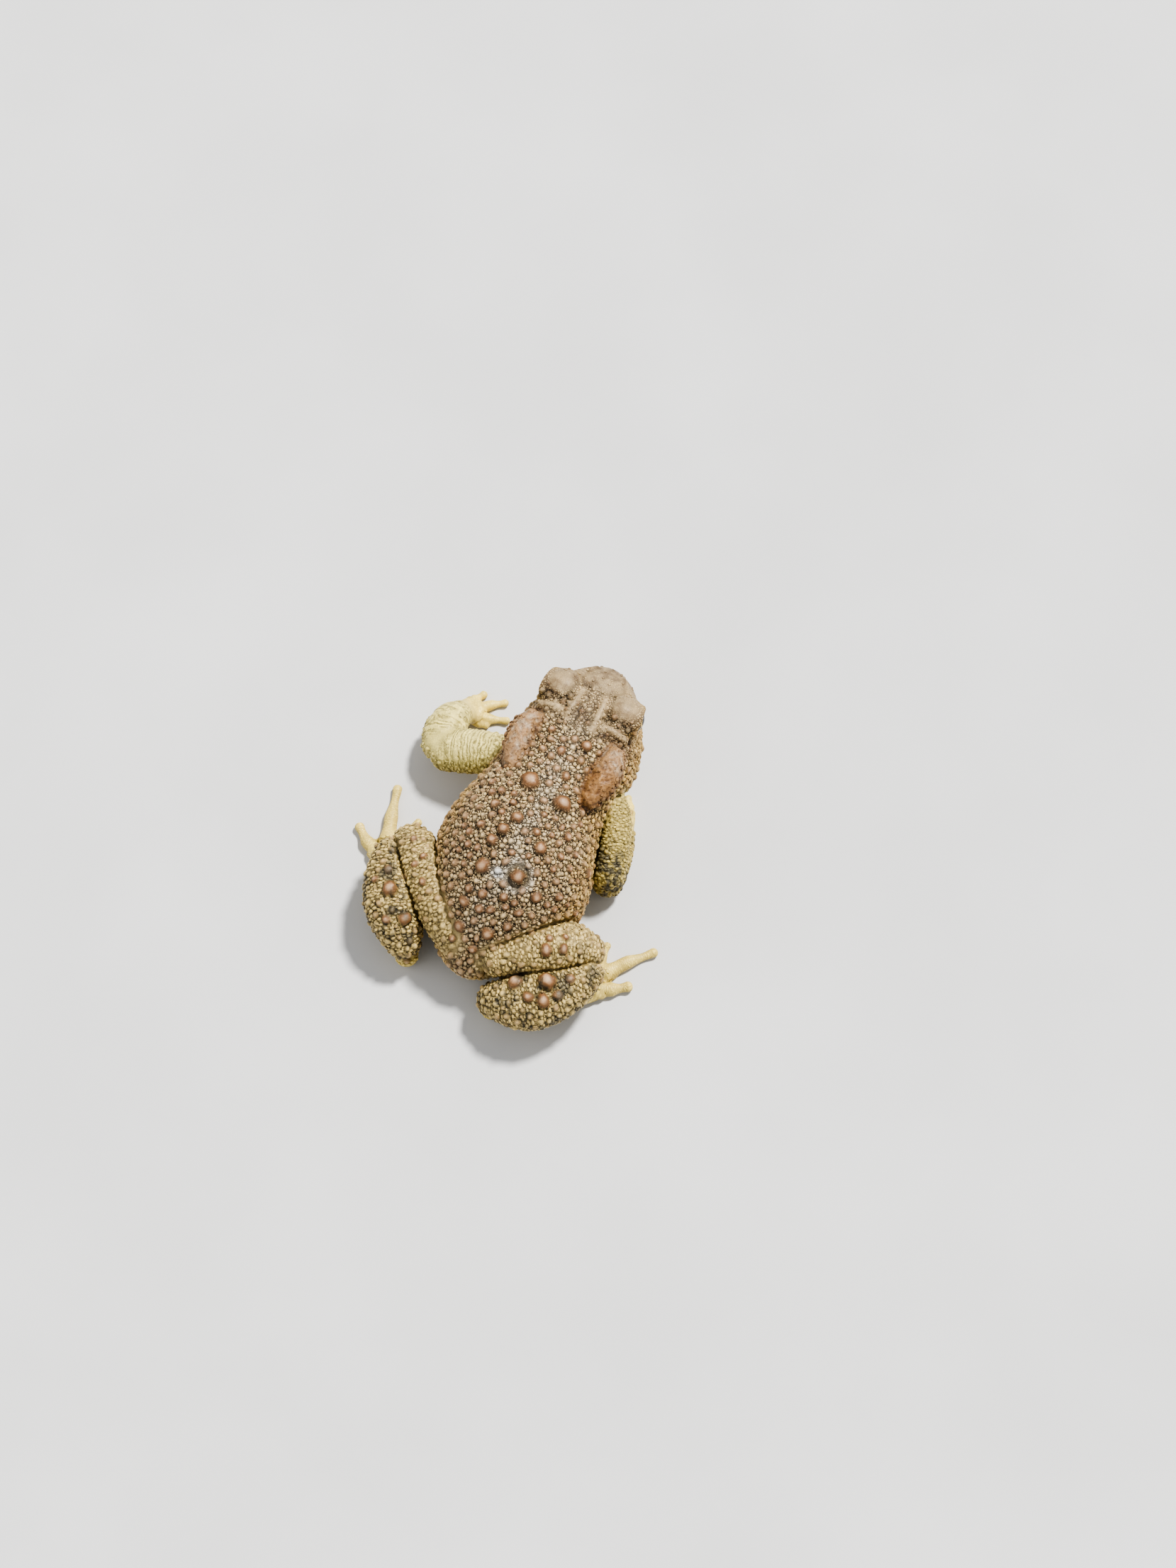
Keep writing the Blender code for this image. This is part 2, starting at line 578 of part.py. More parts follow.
def make_head(parts, cutters):
    """Upper head with its lids and ridges, open at the eyes and nostrils."""
    head = trunk("head", parts)
    forms = [limb("lip", lip_path(), cutters, sides=8)]
    for side in (1, -1):
        centre = (LID_CENTRE[0] * side, *LID_CENTRE[1:])
        forms.append(ellipsoid("lid", centre, LID_RADII, cutters, 20, 14))
        for stations in (BROW_RIDGE, REAR_RIDGE, SNOUT_RIDGE):
            forms.append(limb("ridge", stations if side == 1 else mirrored(stations), cutters, sides=8))
    joined(head, forms)
    blended(head, *HEAD_BLEND)
    combined(head, behind_neck("neck_rear", -GAP / 2, cutters), "DIFFERENCE")
    combined(head, under_mouth("mouth_low", GAP / 2, cutters), "DIFFERENCE")
    for side in (1, -1):
        opening = (LID_OPENING_CENTRE[0] * side, *LID_OPENING_CENTRE[1:])
        socket = (EYE_CENTRE[0] * side, *EYE_CENTRE[1:])
        nostril = (NOSTRIL_CENTRE[0] * side, *NOSTRIL_CENTRE[1:])
        combined(head, ellipsoid("opening", opening, LID_OPENING_RADII, cutters, 16, 10), "DIFFERENCE")
        combined(head, ellipsoid("socket", socket, [EYE_RADIUS + GAP] * 3, cutters, 16, 10), "DIFFERENCE")
        combined(head, ellipsoid("nostril", nostril, NOSTRIL_RADII, cutters, 8, 6), "DIFFERENCE")
        y, z = EARDRUM_PLACE
        x = trunk_half_width(y, z) + EARDRUM_RADII[0] - EARDRUM_DEPTH
        combined(head, ellipsoid("eardrum", (x * side, y, z), EARDRUM_RADII, cutters, 10, 8), "DIFFERENCE")
    return head


def make_lower_jaw(parts, cutters):
    jaw = trunk("lower_jaw", parts, grow=-JAW_INSET)
    combined(jaw, over_mouth("mouth_high", -GAP / 2, cutters), "DIFFERENCE")
    combined(jaw, behind_neck("neck_rear", -GAP / 2, cutters), "DIFFERENCE")
    return jaw


def make_eye(name, side, parts):
    centre = (EYE_CENTRE[0] * side, *EYE_CENTRE[1:])
    return ellipsoid(name, centre, [EYE_RADIUS] * 3, parts, 16, 10)


def grown(name, cutters):
    """The form of a neighbour, larger by the gap all round, for cutting room out of another piece."""
    if name in ("torso", "head", "lower_jaw"):
        return trunk("room", cutters, grow=GAP)
    if name in LIMBS:
        return limb("room", LIMBS[name], cutters, grow=GAP)
    root, knuckle, tip, thick, thin = DIGITS[name]
    return digit("room", root, knuckle, tip, thick, thin, cutters, grow=GAP)


def neighbours_of(name):
    """The pieces that keep their full form where they touch the named one."""
    side = name.rsplit("_", 1)[-1]
    chain = {
        "thigh": ["torso"],
        "shank": ["torso", "thigh"],
        "foot": ["torso", "thigh", "shank"],
        "upper_arm": ["torso"],
        "forearm": ["torso", "upper_arm"],
        "hand": ["torso", "upper_arm", "forearm"],
        "finger": ["torso", "upper_arm", "forearm", "hand"],
        "toe": ["torso", "thigh", "shank"],
    }
    kind = next(kind for kind in chain if name.startswith(kind))
    named = [part if part == "torso" else f"{part}_{side}" for part in chain[kind]]
    if kind in ("finger", "toe"):
        number = int(name.split("_")[1])
        named += [f"{kind}_{n}_{side}" for n in range(1, number)]
    return named


def add_webs(foot, side, cutters):
    """Webs the foot, then opens room in it for the roots of the toes."""
    toes = [DIGITS[f"toe_{n}_{side}"] for n in range(1, 6)]
    joined(foot, [web(a, b, cutters) for a, b in zip(toes, toes[1:])])
    for n in range(1, 6):
        combined(foot, grown(f"toe_{n}_{side}", cutters), "DIFFERENCE")


def tree_of(piece):
    return BVHTree.FromPolygons([v.co for v in piece.data.vertices], [p.vertices for p in piece.data.polygons])


def random_spot(piece, draw):
    """A point on the piece's surface, each patch as likely as it is large, and the way out of the skin there."""
    faces = piece.data.polygons
    face = draw.choices(faces, weights=[f.area for f in faces])[0]
    corners = [piece.data.vertices[i].co for i in face.vertices]
    a, b = sorted((draw.random(), draw.random()))
    return corners[0] * a + corners[1] * (b - a) + corners[2] * (1 - b), Vector(face.normal)


def wart_spots(name, nodes, trees, draw):
    """Where the node's warts go: first the named ones, then small ones wherever there is clear skin."""
    taken = []

    def try_spot(place, normal, diameter):
        reach = diameter / 2
        for other, other_diameter, _ in taken:
            if (place - other).length / MM < reach + other_diameter / 2 + WART_SPACE:
                return
        for other_name, tree in trees.items():
            if other_name != name and tree.find_nearest(place, (reach + WART_CLEAR) * MM)[0] is not None:
                return
        taken.append((place, diameter, normal))

    for x, y, diameter in WARTS.get(name, ()):
        place, normal, _, _ = trees[name].ray_cast(Vector((x, y, 90.0)) * MM, -UP)
        if place is not None:
            try_spot(place, normal, diameter)
    count, smallest, largest, lowest, foremost = SMALL_WARTS[name]
    wanted = len(taken) + count
    for _ in range(60 * count):
        if len(taken) >= wanted:
            break
        place, normal = random_spot(nodes[name], draw)
        if place.z / MM > lowest and place.y / MM > foremost and normal.z > -0.15:
            try_spot(place, normal, draw.uniform(smallest, largest))
    return taken


def add_warts(nodes, cutters):
    draw = random.Random(SEED)
    trees = {name: tree_of(piece) for name, piece in nodes.items()}
    for name in SMALL_WARTS:
        spots = wart_spots(name, nodes, trees, draw)
        joined(nodes[name], [wart(place, normal, diameter, cutters) for place, diameter, normal in spots])
        print(f"{name}: {len(spots)} warts")


def make_limb_part(name, parts, cutters):
    if name in LIMBS:
        piece = limb(name, LIMBS[name], parts)
        if name.startswith("foot"):
            add_webs(piece, name.rsplit("_", 1)[-1], cutters)
    else:
        root, knuckle, tip, thick, thin = DIGITS[name]
        piece = digit(name, root, knuckle, tip, thick, thin, parts)
    for neighbour in neighbours_of(name):
        combined(piece, grown(neighbour, cutters), "DIFFERENCE")
    return piece


def finish_form(piece, floor):
    """Cuts the small flats that the toad rests on, and moves the piece over the origin."""
    combined(piece, floor, "DIFFERENCE", discard=False)
    keep_largest_shell(piece)
    shift = Matrix.Translation((TO_CENTRE[0] * MM, TO_CENTRE[1] * MM, 0.0))
    piece.data.transform(shift)


def kind_of(name):
    if name.startswith("eye"):
        return "eye"
    if name == "lower_jaw":
        return "jaw"
    if name in DIGITS:
        return "digit"
    return "limb" if name in LIMBS else "back"


def colour_piece(name, piece):
    kind = kind_of(name)
    piece.data.materials.clear()
    piece.data.materials.append(new_material(name, SKIN_COLOURS[kind], 0.2 if kind == "eye" else 0.6))


def main():
    for old in list(bpy.data.objects):
        bpy.data.objects.remove(old)
    parts = new_collection("american_toad")
    cutters = new_collection("cutters", hidden=True)
    floor = block("under_floor", (-90.0, -90.0, -30.0), (90.0, 90.0, 0.0), cutters)
    nodes = {"torso": make_torso(parts, cutters)}
    nodes["head"] = make_head(parts, cutters)
    nodes["lower_jaw"] = make_lower_jaw(parts, cutters)
    nodes["eye_left"] = make_eye("eye_left", 1, parts)
    nodes["eye_right"] = make_eye("eye_right", -1, parts)
    for name in [*LIMBS, *DIGITS]:
        nodes[name] = make_limb_part(name, parts, cutters)
    for piece in nodes.values():
        keep_largest_shell(piece)
    add_warts(nodes, cutters)
    for piece in nodes.values():
        finish_form(piece, floor)
        colour_piece(piece.name, piece)
    bpy.data.objects.remove(floor)


main()
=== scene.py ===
# %% [markdown]
# # An American toad at life size
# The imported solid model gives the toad's pose and sizes, node by node. This lesson dresses it: one skin
# that runs over the whole body without a seam, some thousands of granules, two wet eyes, a pale floor
# and soft light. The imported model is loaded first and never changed.

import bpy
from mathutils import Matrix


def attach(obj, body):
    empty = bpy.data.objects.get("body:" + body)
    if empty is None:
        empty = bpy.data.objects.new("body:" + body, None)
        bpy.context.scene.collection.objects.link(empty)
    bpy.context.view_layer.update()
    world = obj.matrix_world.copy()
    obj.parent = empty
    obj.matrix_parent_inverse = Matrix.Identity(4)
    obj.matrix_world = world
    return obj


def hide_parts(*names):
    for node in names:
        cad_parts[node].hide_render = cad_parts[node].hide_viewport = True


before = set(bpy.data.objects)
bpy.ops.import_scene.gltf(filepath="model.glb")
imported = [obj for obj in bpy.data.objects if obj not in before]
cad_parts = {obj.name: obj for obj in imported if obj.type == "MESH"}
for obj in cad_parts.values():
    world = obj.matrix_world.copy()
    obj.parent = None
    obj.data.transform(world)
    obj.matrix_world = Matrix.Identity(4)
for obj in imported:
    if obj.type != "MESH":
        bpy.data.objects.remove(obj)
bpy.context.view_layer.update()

# %% Modules
import math

import bmesh
import bpy
import numpy as np
from mathutils import Matrix, Vector, noise
from mathutils.bvhtree import BVHTree
from mathutils.kdtree import KDTree

# %% [markdown]
# ## Sizes
# A toad is easiest to shape in millimetres and in its own frame: it faces -Y, its left is +X and it rests
# on z = 0. The finished meshes are moved by TO_CENTRE and scaled by MM, which puts them exactly on the
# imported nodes. The stations below are the same ones that the solids are lofted through.

# %% Sizes of the body
MM = 0.001
TO_CENTRE = Vector((-2.17, -8.0, 0.0))
UP = Vector((0.0, 0.0, 1.0))
SEED = 11
GRID = 0.26     # size of the cells that the skin is built from
SKIN_TRIANGLES = 190000
# y, x of the middle, half width, top, height of the widest point, underside, roundness above and below
TRUNK = (
    (-39.3, 0.0, 0.4, 19.8, 18.3, 17.2, 2.0, 2.0),
    (-38.8, 0.0, 3.2, 22.0, 17.6, 14.0, 2.1, 2.0),
    (-37.6, 0.0, 5.8, 24.2, 17.0, 11.8, 2.0, 2.0),
    (-35.5, 0.0, 8.2, 26.1, 16.6, 10.0, 2.0, 2.0),
    (-32.3, 0.0, 10.8, 28.2, 16.2, 8.8, 2.0, 2.0),
    (-28.0, 0.0, 13.2, 30.0, 15.8, 7.8, 2.0, 2.0),
    (-22.0, 0.0, 15.6, 31.4, 15.4, 6.8, 2.1, 2.0),
    (-15.0, 0.1, 16.5, 31.8, 15.0, 5.4, 2.3, 2.1),
    (-8.0, 0.6, 15.9, 32.2, 15.0, 3.4, 2.3, 2.3),
    (0.0, 1.5, 16.7, 33.0, 14.0, 1.0, 2.3, 2.5),
    (8.0, 2.0, 18.9, 33.8, 13.0, -0.4, 2.2, 2.8),
    (16.0, 1.4, 20.5, 33.4, 12.4, -0.6, 2.1, 3.0),
    (24.0, 0.9, 20.2, 31.4, 12.0, -0.6, 2.0, 3.0),
    (32.0, 0.9, 17.2, 27.4, 11.4, -0.4, 2.0, 2.8),
    (39.0, 1.1, 13.0, 21.8, 10.4, 0.6, 2.0, 2.4),
    (44.0, 1.2, 8.8, 16.8, 9.6, 2.8, 2.0, 2.0),
    (47.2, 1.2, 4.6, 13.0, 9.4, 5.8, 2.0, 2.0),
    (48.4, 1.2, 0.6, 10.4, 9.6, 9.0, 2.0, 2.0),
)
MOUTH_LINE = ((-41.0, 14.7), (-36.0, 13.7), (-30.0, 13.0), (-24.0, 12.9), (-18.0, 12.2), (-12.0, 11.6))
EYE_CENTRE = (9.5, -26.4, 26.6)
EYE_RADIUS = 4.4
LID_CENTRE = (8.4, -26.2, 26.8)
LID_RADII = (5.7, 5.9, 5.5)
LID_OPENING_CENTRE = (15.4, -26.8, 26.2)
LID_OPENING_RADII = (5.4, 4.3, 3.3)
NOSTRIL_CENTRE = (3.1, -37.2, 23.3)
EARDRUM = (14.6, -19.4, 20.6)
print("snout to vent, mm:", TRUNK[-1][0] - TRUNK[0][0])

# %% [markdown]
# ## Sizes of the limbs
# Each limb is a path of stations: x, y, z, half width and half height. A digit is given by three points on
# the floor and two thicknesses.

# %% Sizes of the limbs and digits
LIMBS = {
    "thigh_left": (
        (6.5, 39.5, 13.0, 6.2, 6.0), (12.5, 34.8, 13.8, 7.2, 7.0), (18.6, 29.9, 13.8, 7.2, 7.0),
        (24.4, 25.3, 12.8, 6.4, 6.2), (27.8, 23.0, 11.8, 5.2, 5.2),
    ),
    "thigh_right": (
        (-5.8, 40.4, 13.0, 6.2, 6.0), (-11.8, 36.2, 13.8, 7.6, 7.0), (-18.0, 32.6, 13.8, 7.6, 7.0),
        (-23.0, 30.6, 12.8, 6.2, 6.2), (-25.6, 30.0, 11.8, 5.0, 5.2),
    ),
    "shank_left": (
        (30.4, 27.4, 11.0, 5.0, 5.0), (28.6, 32.6, 11.6, 6.6, 5.8), (24.6, 38.8, 11.6, 7.7, 6.2),
        (20.8, 43.6, 10.4, 6.7, 5.4), (18.0, 46.8, 8.2, 4.5, 4.4),
    ),
    "shank_right": (
        (-27.2, 34.4, 11.0, 5.0, 5.0), (-24.6, 39.8, 11.4, 6.8, 5.8), (-18.6, 46.2, 11.2, 8.3, 6.2),
        (-12.6, 49.2, 9.8, 6.8, 5.4), (-8.8, 50.4, 7.8, 4.4, 4.4),
    ),
    "foot_left": (
        (16.6, 48.4, 3.4, 3.0, 3.2), (21.4, 41.2, 2.8, 3.4, 2.8), (27.0, 33.4, 2.4, 4.0, 2.5),
        (32.0, 27.0, 1.8, 5.0, 2.1), (34.4, 24.2, 1.4, 5.2, 1.6),
    ),
    "foot_right": (
        (-8.6, 51.4, 3.4, 3.0, 3.2), (-15.2, 46.8, 2.8, 3.4, 2.8), (-22.0, 41.0, 2.4, 4.0, 2.5),
        (-27.0, 35.4, 1.8, 5.0, 2.1), (-28.8, 32.6, 1.4, 5.2, 1.6),
    ),
    "upper_arm_left": (
        (14.6, -8.2, 13.2, 5.2, 5.6), (20.8, -7.4, 12.4, 5.6, 5.5), (27.0, -5.8, 10.6, 5.8, 5.2),
        (31.6, -4.6, 8.6, 5.4, 4.8),
    ),
    "upper_arm_right": (
        (-12.6, -8.4, 14.0, 4.8, 5.6), (-16.0, -4.2, 13.2, 4.9, 5.6), (-18.8, 2.0, 11.4, 4.7, 5.2),
        (-20.8, 8.0, 9.0, 4.4, 4.6),
    ),
    "forearm_left": (
        (33.2, -5.4, 7.8, 5.2, 5.0), (34.4, -9.8, 7.2, 5.5, 5.2), (34.4, -14.0, 5.8, 4.8, 4.3),
        (33.2, -17.4, 4.0, 3.6, 3.1),
    ),
    "forearm_right": (
        (-21.0, 8.8, 5.6, 4.2, 4.4), (-20.4, 3.6, 4.6, 4.1, 4.1), (-19.4, -2.0, 3.9, 3.7, 3.5),
        (-18.2, -6.6, 3.0, 2.9, 2.7),
    ),
    "hand_left": ((32.8, -18.0, 3.2, 3.2, 2.6), (31.8, -19.6, 2.5, 3.5, 2.1), (30.9, -20.4, 1.9, 3.0, 1.6)),
    "hand_right": ((-18.0, -7.4, 2.5, 2.8, 2.3), (-16.8, -9.4, 2.1, 3.3, 1.9), (-15.8, -10.8, 1.8, 3.0, 1.6)),
}
DIGITS = {
    "finger_1_left": ((30.6, -18.0), (28.6, -17.4), (26.6, -17.8), 1.15, 0.9),
    "finger_2_left": ((30.2, -19.2), (26.4, -19.8), (22.4, -21.3), 1.35, 1.05),
    "finger_3_left": ((30.6, -21.0), (27.8, -23.6), (24.9, -25.6), 1.35, 1.05),
    "finger_4_left": ((32.6, -20.6), (32.4, -22.9), (31.0, -25.3), 1.45, 1.1),
    "finger_1_right": ((-15.8, -9.0), (-14.0, -8.2), (-12.0, -8.4), 1.1, 0.9),
    "finger_2_right": ((-15.2, -10.6), (-12.8, -10.9), (-9.4, -11.8), 1.25, 1.0),
    "finger_3_right": ((-15.8, -11.6), (-14.0, -14.0), (-11.0, -16.2), 1.3, 1.0),
    "finger_4_right": ((-17.2, -11.2), (-16.8, -13.6), (-15.4, -15.8), 1.3, 1.0),
    "toe_1_left": ((30.6, 26.0), (28.0, 24.8), (25.8, 23.0), 1.15, 0.9),
    "toe_2_left": ((31.6, 23.8), (29.4, 21.0), (28.0, 18.2), 1.25, 1.0),
    "toe_3_left": ((33.6, 22.2), (32.4, 18.0), (30.6, 13.8), 1.45, 1.05),
    "toe_4_left": ((35.4, 22.0), (37.6, 15.4), (39.6, 8.0), 1.9, 1.25),
    "toe_5_left": ((36.4, 26.0), (40.2, 24.4), (43.8, 21.6), 1.8, 1.3),
    "toe_1_right": ((-24.6, 32.6), (-23.4, 30.2), (-22.8, 27.6), 1.15, 0.9),
    "toe_2_right": ((-26.4, 30.6), (-25.4, 27.6), (-24.6, 24.6), 1.25, 1.0),
    "toe_3_right": ((-28.2, 29.8), (-28.0, 26.2), (-27.8, 22.8), 1.4, 1.05),
    "toe_4_right": ((-30.2, 30.4), (-34.6, 24.6), (-39.4, 19.4), 1.9, 1.25),
    "toe_5_right": ((-30.6, 34.6), (-34.0, 33.0), (-37.4, 30.5), 1.9, 1.4),
}
print(len(LIMBS), "limb pieces and", len(DIGITS), "digits")

# %% [markdown]
# ## Forms from rings
# A body with smooth, changing sections is a loft. Each ring is a circle from the operator, bent to the
# section's own outline, and bridge_loops lays the faces between rings. A few named stations are enough,
# because a Catmull-Rom curve gives the ones between them.

# %% Rings and lofts
def smoothed(stations, steps):
    """Catmull-Rom stations between the named ones."""
    padded = [stations[0], *stations, stations[-1]]
    made = []
    for a, b, c, d in zip(padded, padded[1:], padded[2:], padded[3:]):
        for step in range(steps):
            t = step / steps
            weights = (
                -0.5 * t + t * t - 0.5 * t ** 3,
                1.0 - 2.5 * t * t + 1.5 * t ** 3,
                0.5 * t + 2.0 * t * t - 1.5 * t ** 3,
                -0.5 * t * t + 0.5 * t ** 3,
            )
            made.append(tuple(sum(w * p for w, p in zip(weights, four)) for four in zip(a, b, c, d)))
    made.append(tuple(stations[-1]))
    return made


def add_ring(bm, sides, place):
    """A circle whose every point is moved to place(angle). Returns its edges."""
    made = bmesh.ops.create_circle(bm, segments=sides, radius=1.0)["verts"]
    edges = {edge for vert in made for edge in vert.link_edges}
    for vert in made:
        vert.co = place(math.atan2(vert.co.y, vert.co.x))
    return list(edges)


def loft(sides, places):
    """A closed form through a list of rings, as a bmesh."""
    bm = bmesh.new()
    rings = [add_ring(bm, sides, place) for place in places]
    for low, high in zip(rings, rings[1:]):
        bmesh.ops.bridge_loops(bm, edges=low + high)
    bmesh.ops.holes_fill(bm, edges=[edge for edge in bm.edges if edge.is_boundary], sides=0)
    bmesh.ops.recalc_face_normals(bm, faces=bm.faces)
    return bm


def limb_form(stations, sides=24, steps=4, grow=0.0):
    """A tapering limb of oval rings square to its path, with a rounded cap past each end."""
    path = smoothed(stations, steps)
    places = []
    for i, (x, y, z, half_width, half_height) in enumerate(path):
        before = Vector(path[max(i - 1, 0)][:3])
        after = Vector(path[min(i + 1, len(path) - 1)][:3])
        along = (after - before).normalized()
        across = along.cross(UP).normalized()
        lift = across.cross(along).normalized()
        turns = [-80, -60, -38, -18, 0] if i == 0 else [0, 18, 38, 60, 80] if i == len(path) - 1 else [0]
        for turn in turns:
            shrink = math.cos(math.radians(turn))
            reach = 0.85 * min(half_width, half_height) + grow
            middle = Vector((x, y, z)) + along * reach * math.sin(math.radians(turn))
            wide = across * (half_width + grow) * shrink
            high = lift * (half_height + grow) * shrink
            places.append(lambda a, m=middle, w=wide, h=high: m + w * math.cos(a) + h * math.sin(a))
    return loft(sides, places)


def trunk_form(sides=48, steps=4):
    """Head and body in one, each ring rounder or squarer by its station's own numbers."""
    places = []
    for y, middle, half, top, side, low, above, below in smoothed(TRUNK, steps):
        def place(a, y=y, m=middle, half=max(half, 0.3), side=side,
                  up=(top - side, above), down=(side - low, below)):
            c, s = math.cos(a), math.sin(a)
            reach, roundness = up if s > 0 else down
            power = 2.0 / roundness
            return Vector((
                m + half * math.copysign(abs(c) ** power, c), y,
                side + reach * math.copysign(abs(s) ** power, s),
            ))
        places.append(place)
    return loft(sides, places)


def oval_form(centre, radii, segments=32, rings=20):
    bm = bmesh.new()
    bmesh.ops.create_uvsphere(bm, u_segments=segments, v_segments=rings, radius=1.0)
    bmesh.ops.scale(bm, vec=radii, verts=bm.verts)
    bmesh.ops.translate(bm, vec=centre, verts=bm.verts)
    return bm


body_forms = [trunk_form()]
print("trunk of", len(body_forms[0].faces), "faces")

# %% [markdown]
# ## Limbs, digits and webs
# A toe is thin where the bone runs straight and thicker at each joint and at its blunt tip. Between the
# hind toes hangs a web of thin skin: a flat polygon, given its thickness by extruding it.

# %% Limbs, digits and webs
def digit_form(root, knuckle, tip, thick, thin):
    """A digit on the floor: swollen at its joints and at the end."""
    def between(a, b, t):
        return [p + (q - p) * t for p, q in zip(a, b)]
    middle = (thick + thin) / 2
    stations = (
        (*root, thick * 0.9, thick, thick),
        (*between(root, knuckle, 0.5), middle * 0.84, middle * 0.88, middle * 0.86),
        (*knuckle, middle * 0.92, middle * 1.04, middle * 1.02),
        (*between(knuckle, tip, 0.55), thin * 0.8, thin * 0.84, thin * 0.84),
        (*tip, thin * 0.92, thin * 1.04, thin * 1.02),
    )
    return limb_form(stations, sides=16, steps=3)


def web_form(toe_a, toe_b, hold=0.46, dip=0.35, thickness=0.8):
    """Skin between the roots of two toes, with a hollow front edge."""
    spread = []
    for root, knuckle, tip, *_ in (toe_a, toe_b):
        spread.append((Vector(root), Vector(root).lerp(Vector(tip), hold)))
    (root_a, hold_a), (root_b, hold_b) = spread
    hollow = ((hold_a + hold_b) / 2).lerp((root_a + root_b) / 2, dip)
    bm = bmesh.new()
    face = bm.faces.new([bm.verts.new((x, y, 0.0)) for x, y in (root_a, hold_a, hollow, hold_b, root_b)])
    pushed = bmesh.ops.extrude_face_region(bm, geom=[face])
    moved = [part for part in pushed["geom"] if isinstance(part, bmesh.types.BMVert)]
    bmesh.ops.translate(bm, vec=(0.0, 0.0, thickness), verts=moved)
    bmesh.ops.recalc_face_normals(bm, faces=bm.faces)
    return bm


body_forms += [limb_form(stations) for stations in LIMBS.values()]
body_forms += [digit_form(*sizes) for sizes in DIGITS.values()]
for side in ("left", "right"):
    toes = [DIGITS[f"toe_{n}_{side}"] for n in range(1, 6)]
    body_forms += [web_form(a, b) for a, b in zip(toes, toes[1:])]
print(len(body_forms), "forms so far")

# %% [markdown]
# ## The head's own forms
# What makes a toad's head is added as smaller forms: a dome of lid over each eye, the bony crests behind
# and before the eyes, the ridge to the nostril, the rolled upper lip, and the long poison gland on each
# shoulder.

# %% Lids, crests, lips and glands
CRESTS = (
    ((3.2, -27.2, 29.8, 0.6, 0.9), (3.6, -22.4, 30.5, 1.1, 1.5), (3.6, -18.4, 30.2, 1.2, 1.3)),
    ((4.8, -20.0, 29.6, 0.8, 1.1), (8.2, -20.6, 28.9, 1.1, 1.5), (11.6, -20.4, 27.0, 0.9, 1.2)),
    ((3.5, -36.6, 23.8, 0.8, 0.8), (5.7, -34.2, 24.8, 1.1, 1.1), (8.0, -31.3, 26.0, 1.3, 1.4)),
)
GLANDS = (
    ((11.8, -16.0, 28.4, 2.6, 2.4), (12.3, -12.0, 28.6, 3.8, 3.3), (11.9, -7.0, 28.8, 3.7, 3.2),
     (11.3, -2.6, 29.4, 2.5, 2.4)),
    ((-11.4, -15.8, 28.4, 2.6, 2.4), (-11.8, -11.6, 28.7, 3.9, 3.4), (-11.4, -6.2, 28.9, 4.0, 3.4),
     (-10.9, -1.6, 29.2, 2.7, 2.5)),
)
LIP = (-17.0, -20.5, -25.0, -29.0, -32.5, -35.3, -37.4)


def trunk_size(y, column):
    """One of the trunk's measures at a place along it."""
    fine = smoothed(TRUNK, 4)
    return np.interp(y, [row[0] for row in fine], [row[column] for row in fine])


def trunk_half_width(y, z):
    """How far the trunk reaches sideways at this place along and above it."""
    half, top, side, low, above, below = (float(trunk_size(y, column)) for column in range(2, 8))
    reach, power = (top - side, above) if z > side else (side - low, below)
    return half * max(0.0, 1.0 - (abs(z - side) / reach) ** power) ** (1.0 / power)


def mouth_height(y):
    return np.interp(y, [row[0] for row in MOUTH_LINE], [row[1] for row in MOUTH_LINE])


def lip_stations():
    left = []
    for y in LIP:
        z = float(mouth_height(y)) + 1.2
        left.append((trunk_half_width(y, z) - 0.65, y, z, 1.0, 1.0))
    front = (0.0, TRUNK[0][0] + 0.65, float(mouth_height(-41.0)) + 1.2, 1.0, 1.0)
    return [*left, front, *[(-x, *rest) for x, *rest in reversed(left)]]


def mirrored(stations):
    return [(-x, *rest) for x, *rest in stations]


body_forms.append(limb_form(lip_stations(), sides=16))
for crest in CRESTS:
    body_forms += [limb_form(crest, sides=16), limb_form(mirrored(crest), sides=16)]
body_forms += [limb_form(gland) for gland in GLANDS]
for side in (1, -1):
    body_forms.append(oval_form((LID_CENTRE[0] * side, *LID_CENTRE[1:]), LID_RADII))
print(len(body_forms), "forms in all")

# %% [markdown]
# ## One skin from many forms
# The forms overlap, as bones and muscles do under skin. A voxel remesh melts them into one closed surface
# of even cells, which is what sculpting needs. The eye openings, sockets and nostrils are cut by Booleans
# right after, and a second remesh gives the cut edges the same even cells.

# %% Melt the forms into one surface
def to_object(name, bm):
    mesh = bpy.data.meshes.new(name)
    bm.to_mesh(mesh)
    bm.free()
    made = bpy.data.objects.new(name, mesh)
    bpy.context.scene.collection.objects.link(made)
    return made


def applied(piece):
    """Replaces the piece's mesh by what its modifiers make of it."""
    graph = bpy.context.evaluated_depsgraph_get()
    old = piece.data
    mesh = bpy.data.meshes.new_from_object(piece.evaluated_get(graph))
    piece.modifiers.clear()
    piece.data = mesh
    bpy.data.meshes.remove(old)
    return piece


def melted(piece, cell):
    remesh = piece.modifiers.new("Melt", "REMESH")
    remesh.mode = "VOXEL"
    remesh.voxel_size = cell
    return applied(piece)


gathered = bmesh.new()
for form in body_forms:
    part = bpy.data.meshes.new("form")
    form.to_mesh(part)
    form.free()
    gathered.from_mesh(part)
    bpy.data.meshes.remove(part)
skin = melted(to_object("toad_skin", gathered), GRID * 1.15)
print("melted skin:", len(skin.data.vertices), "points")

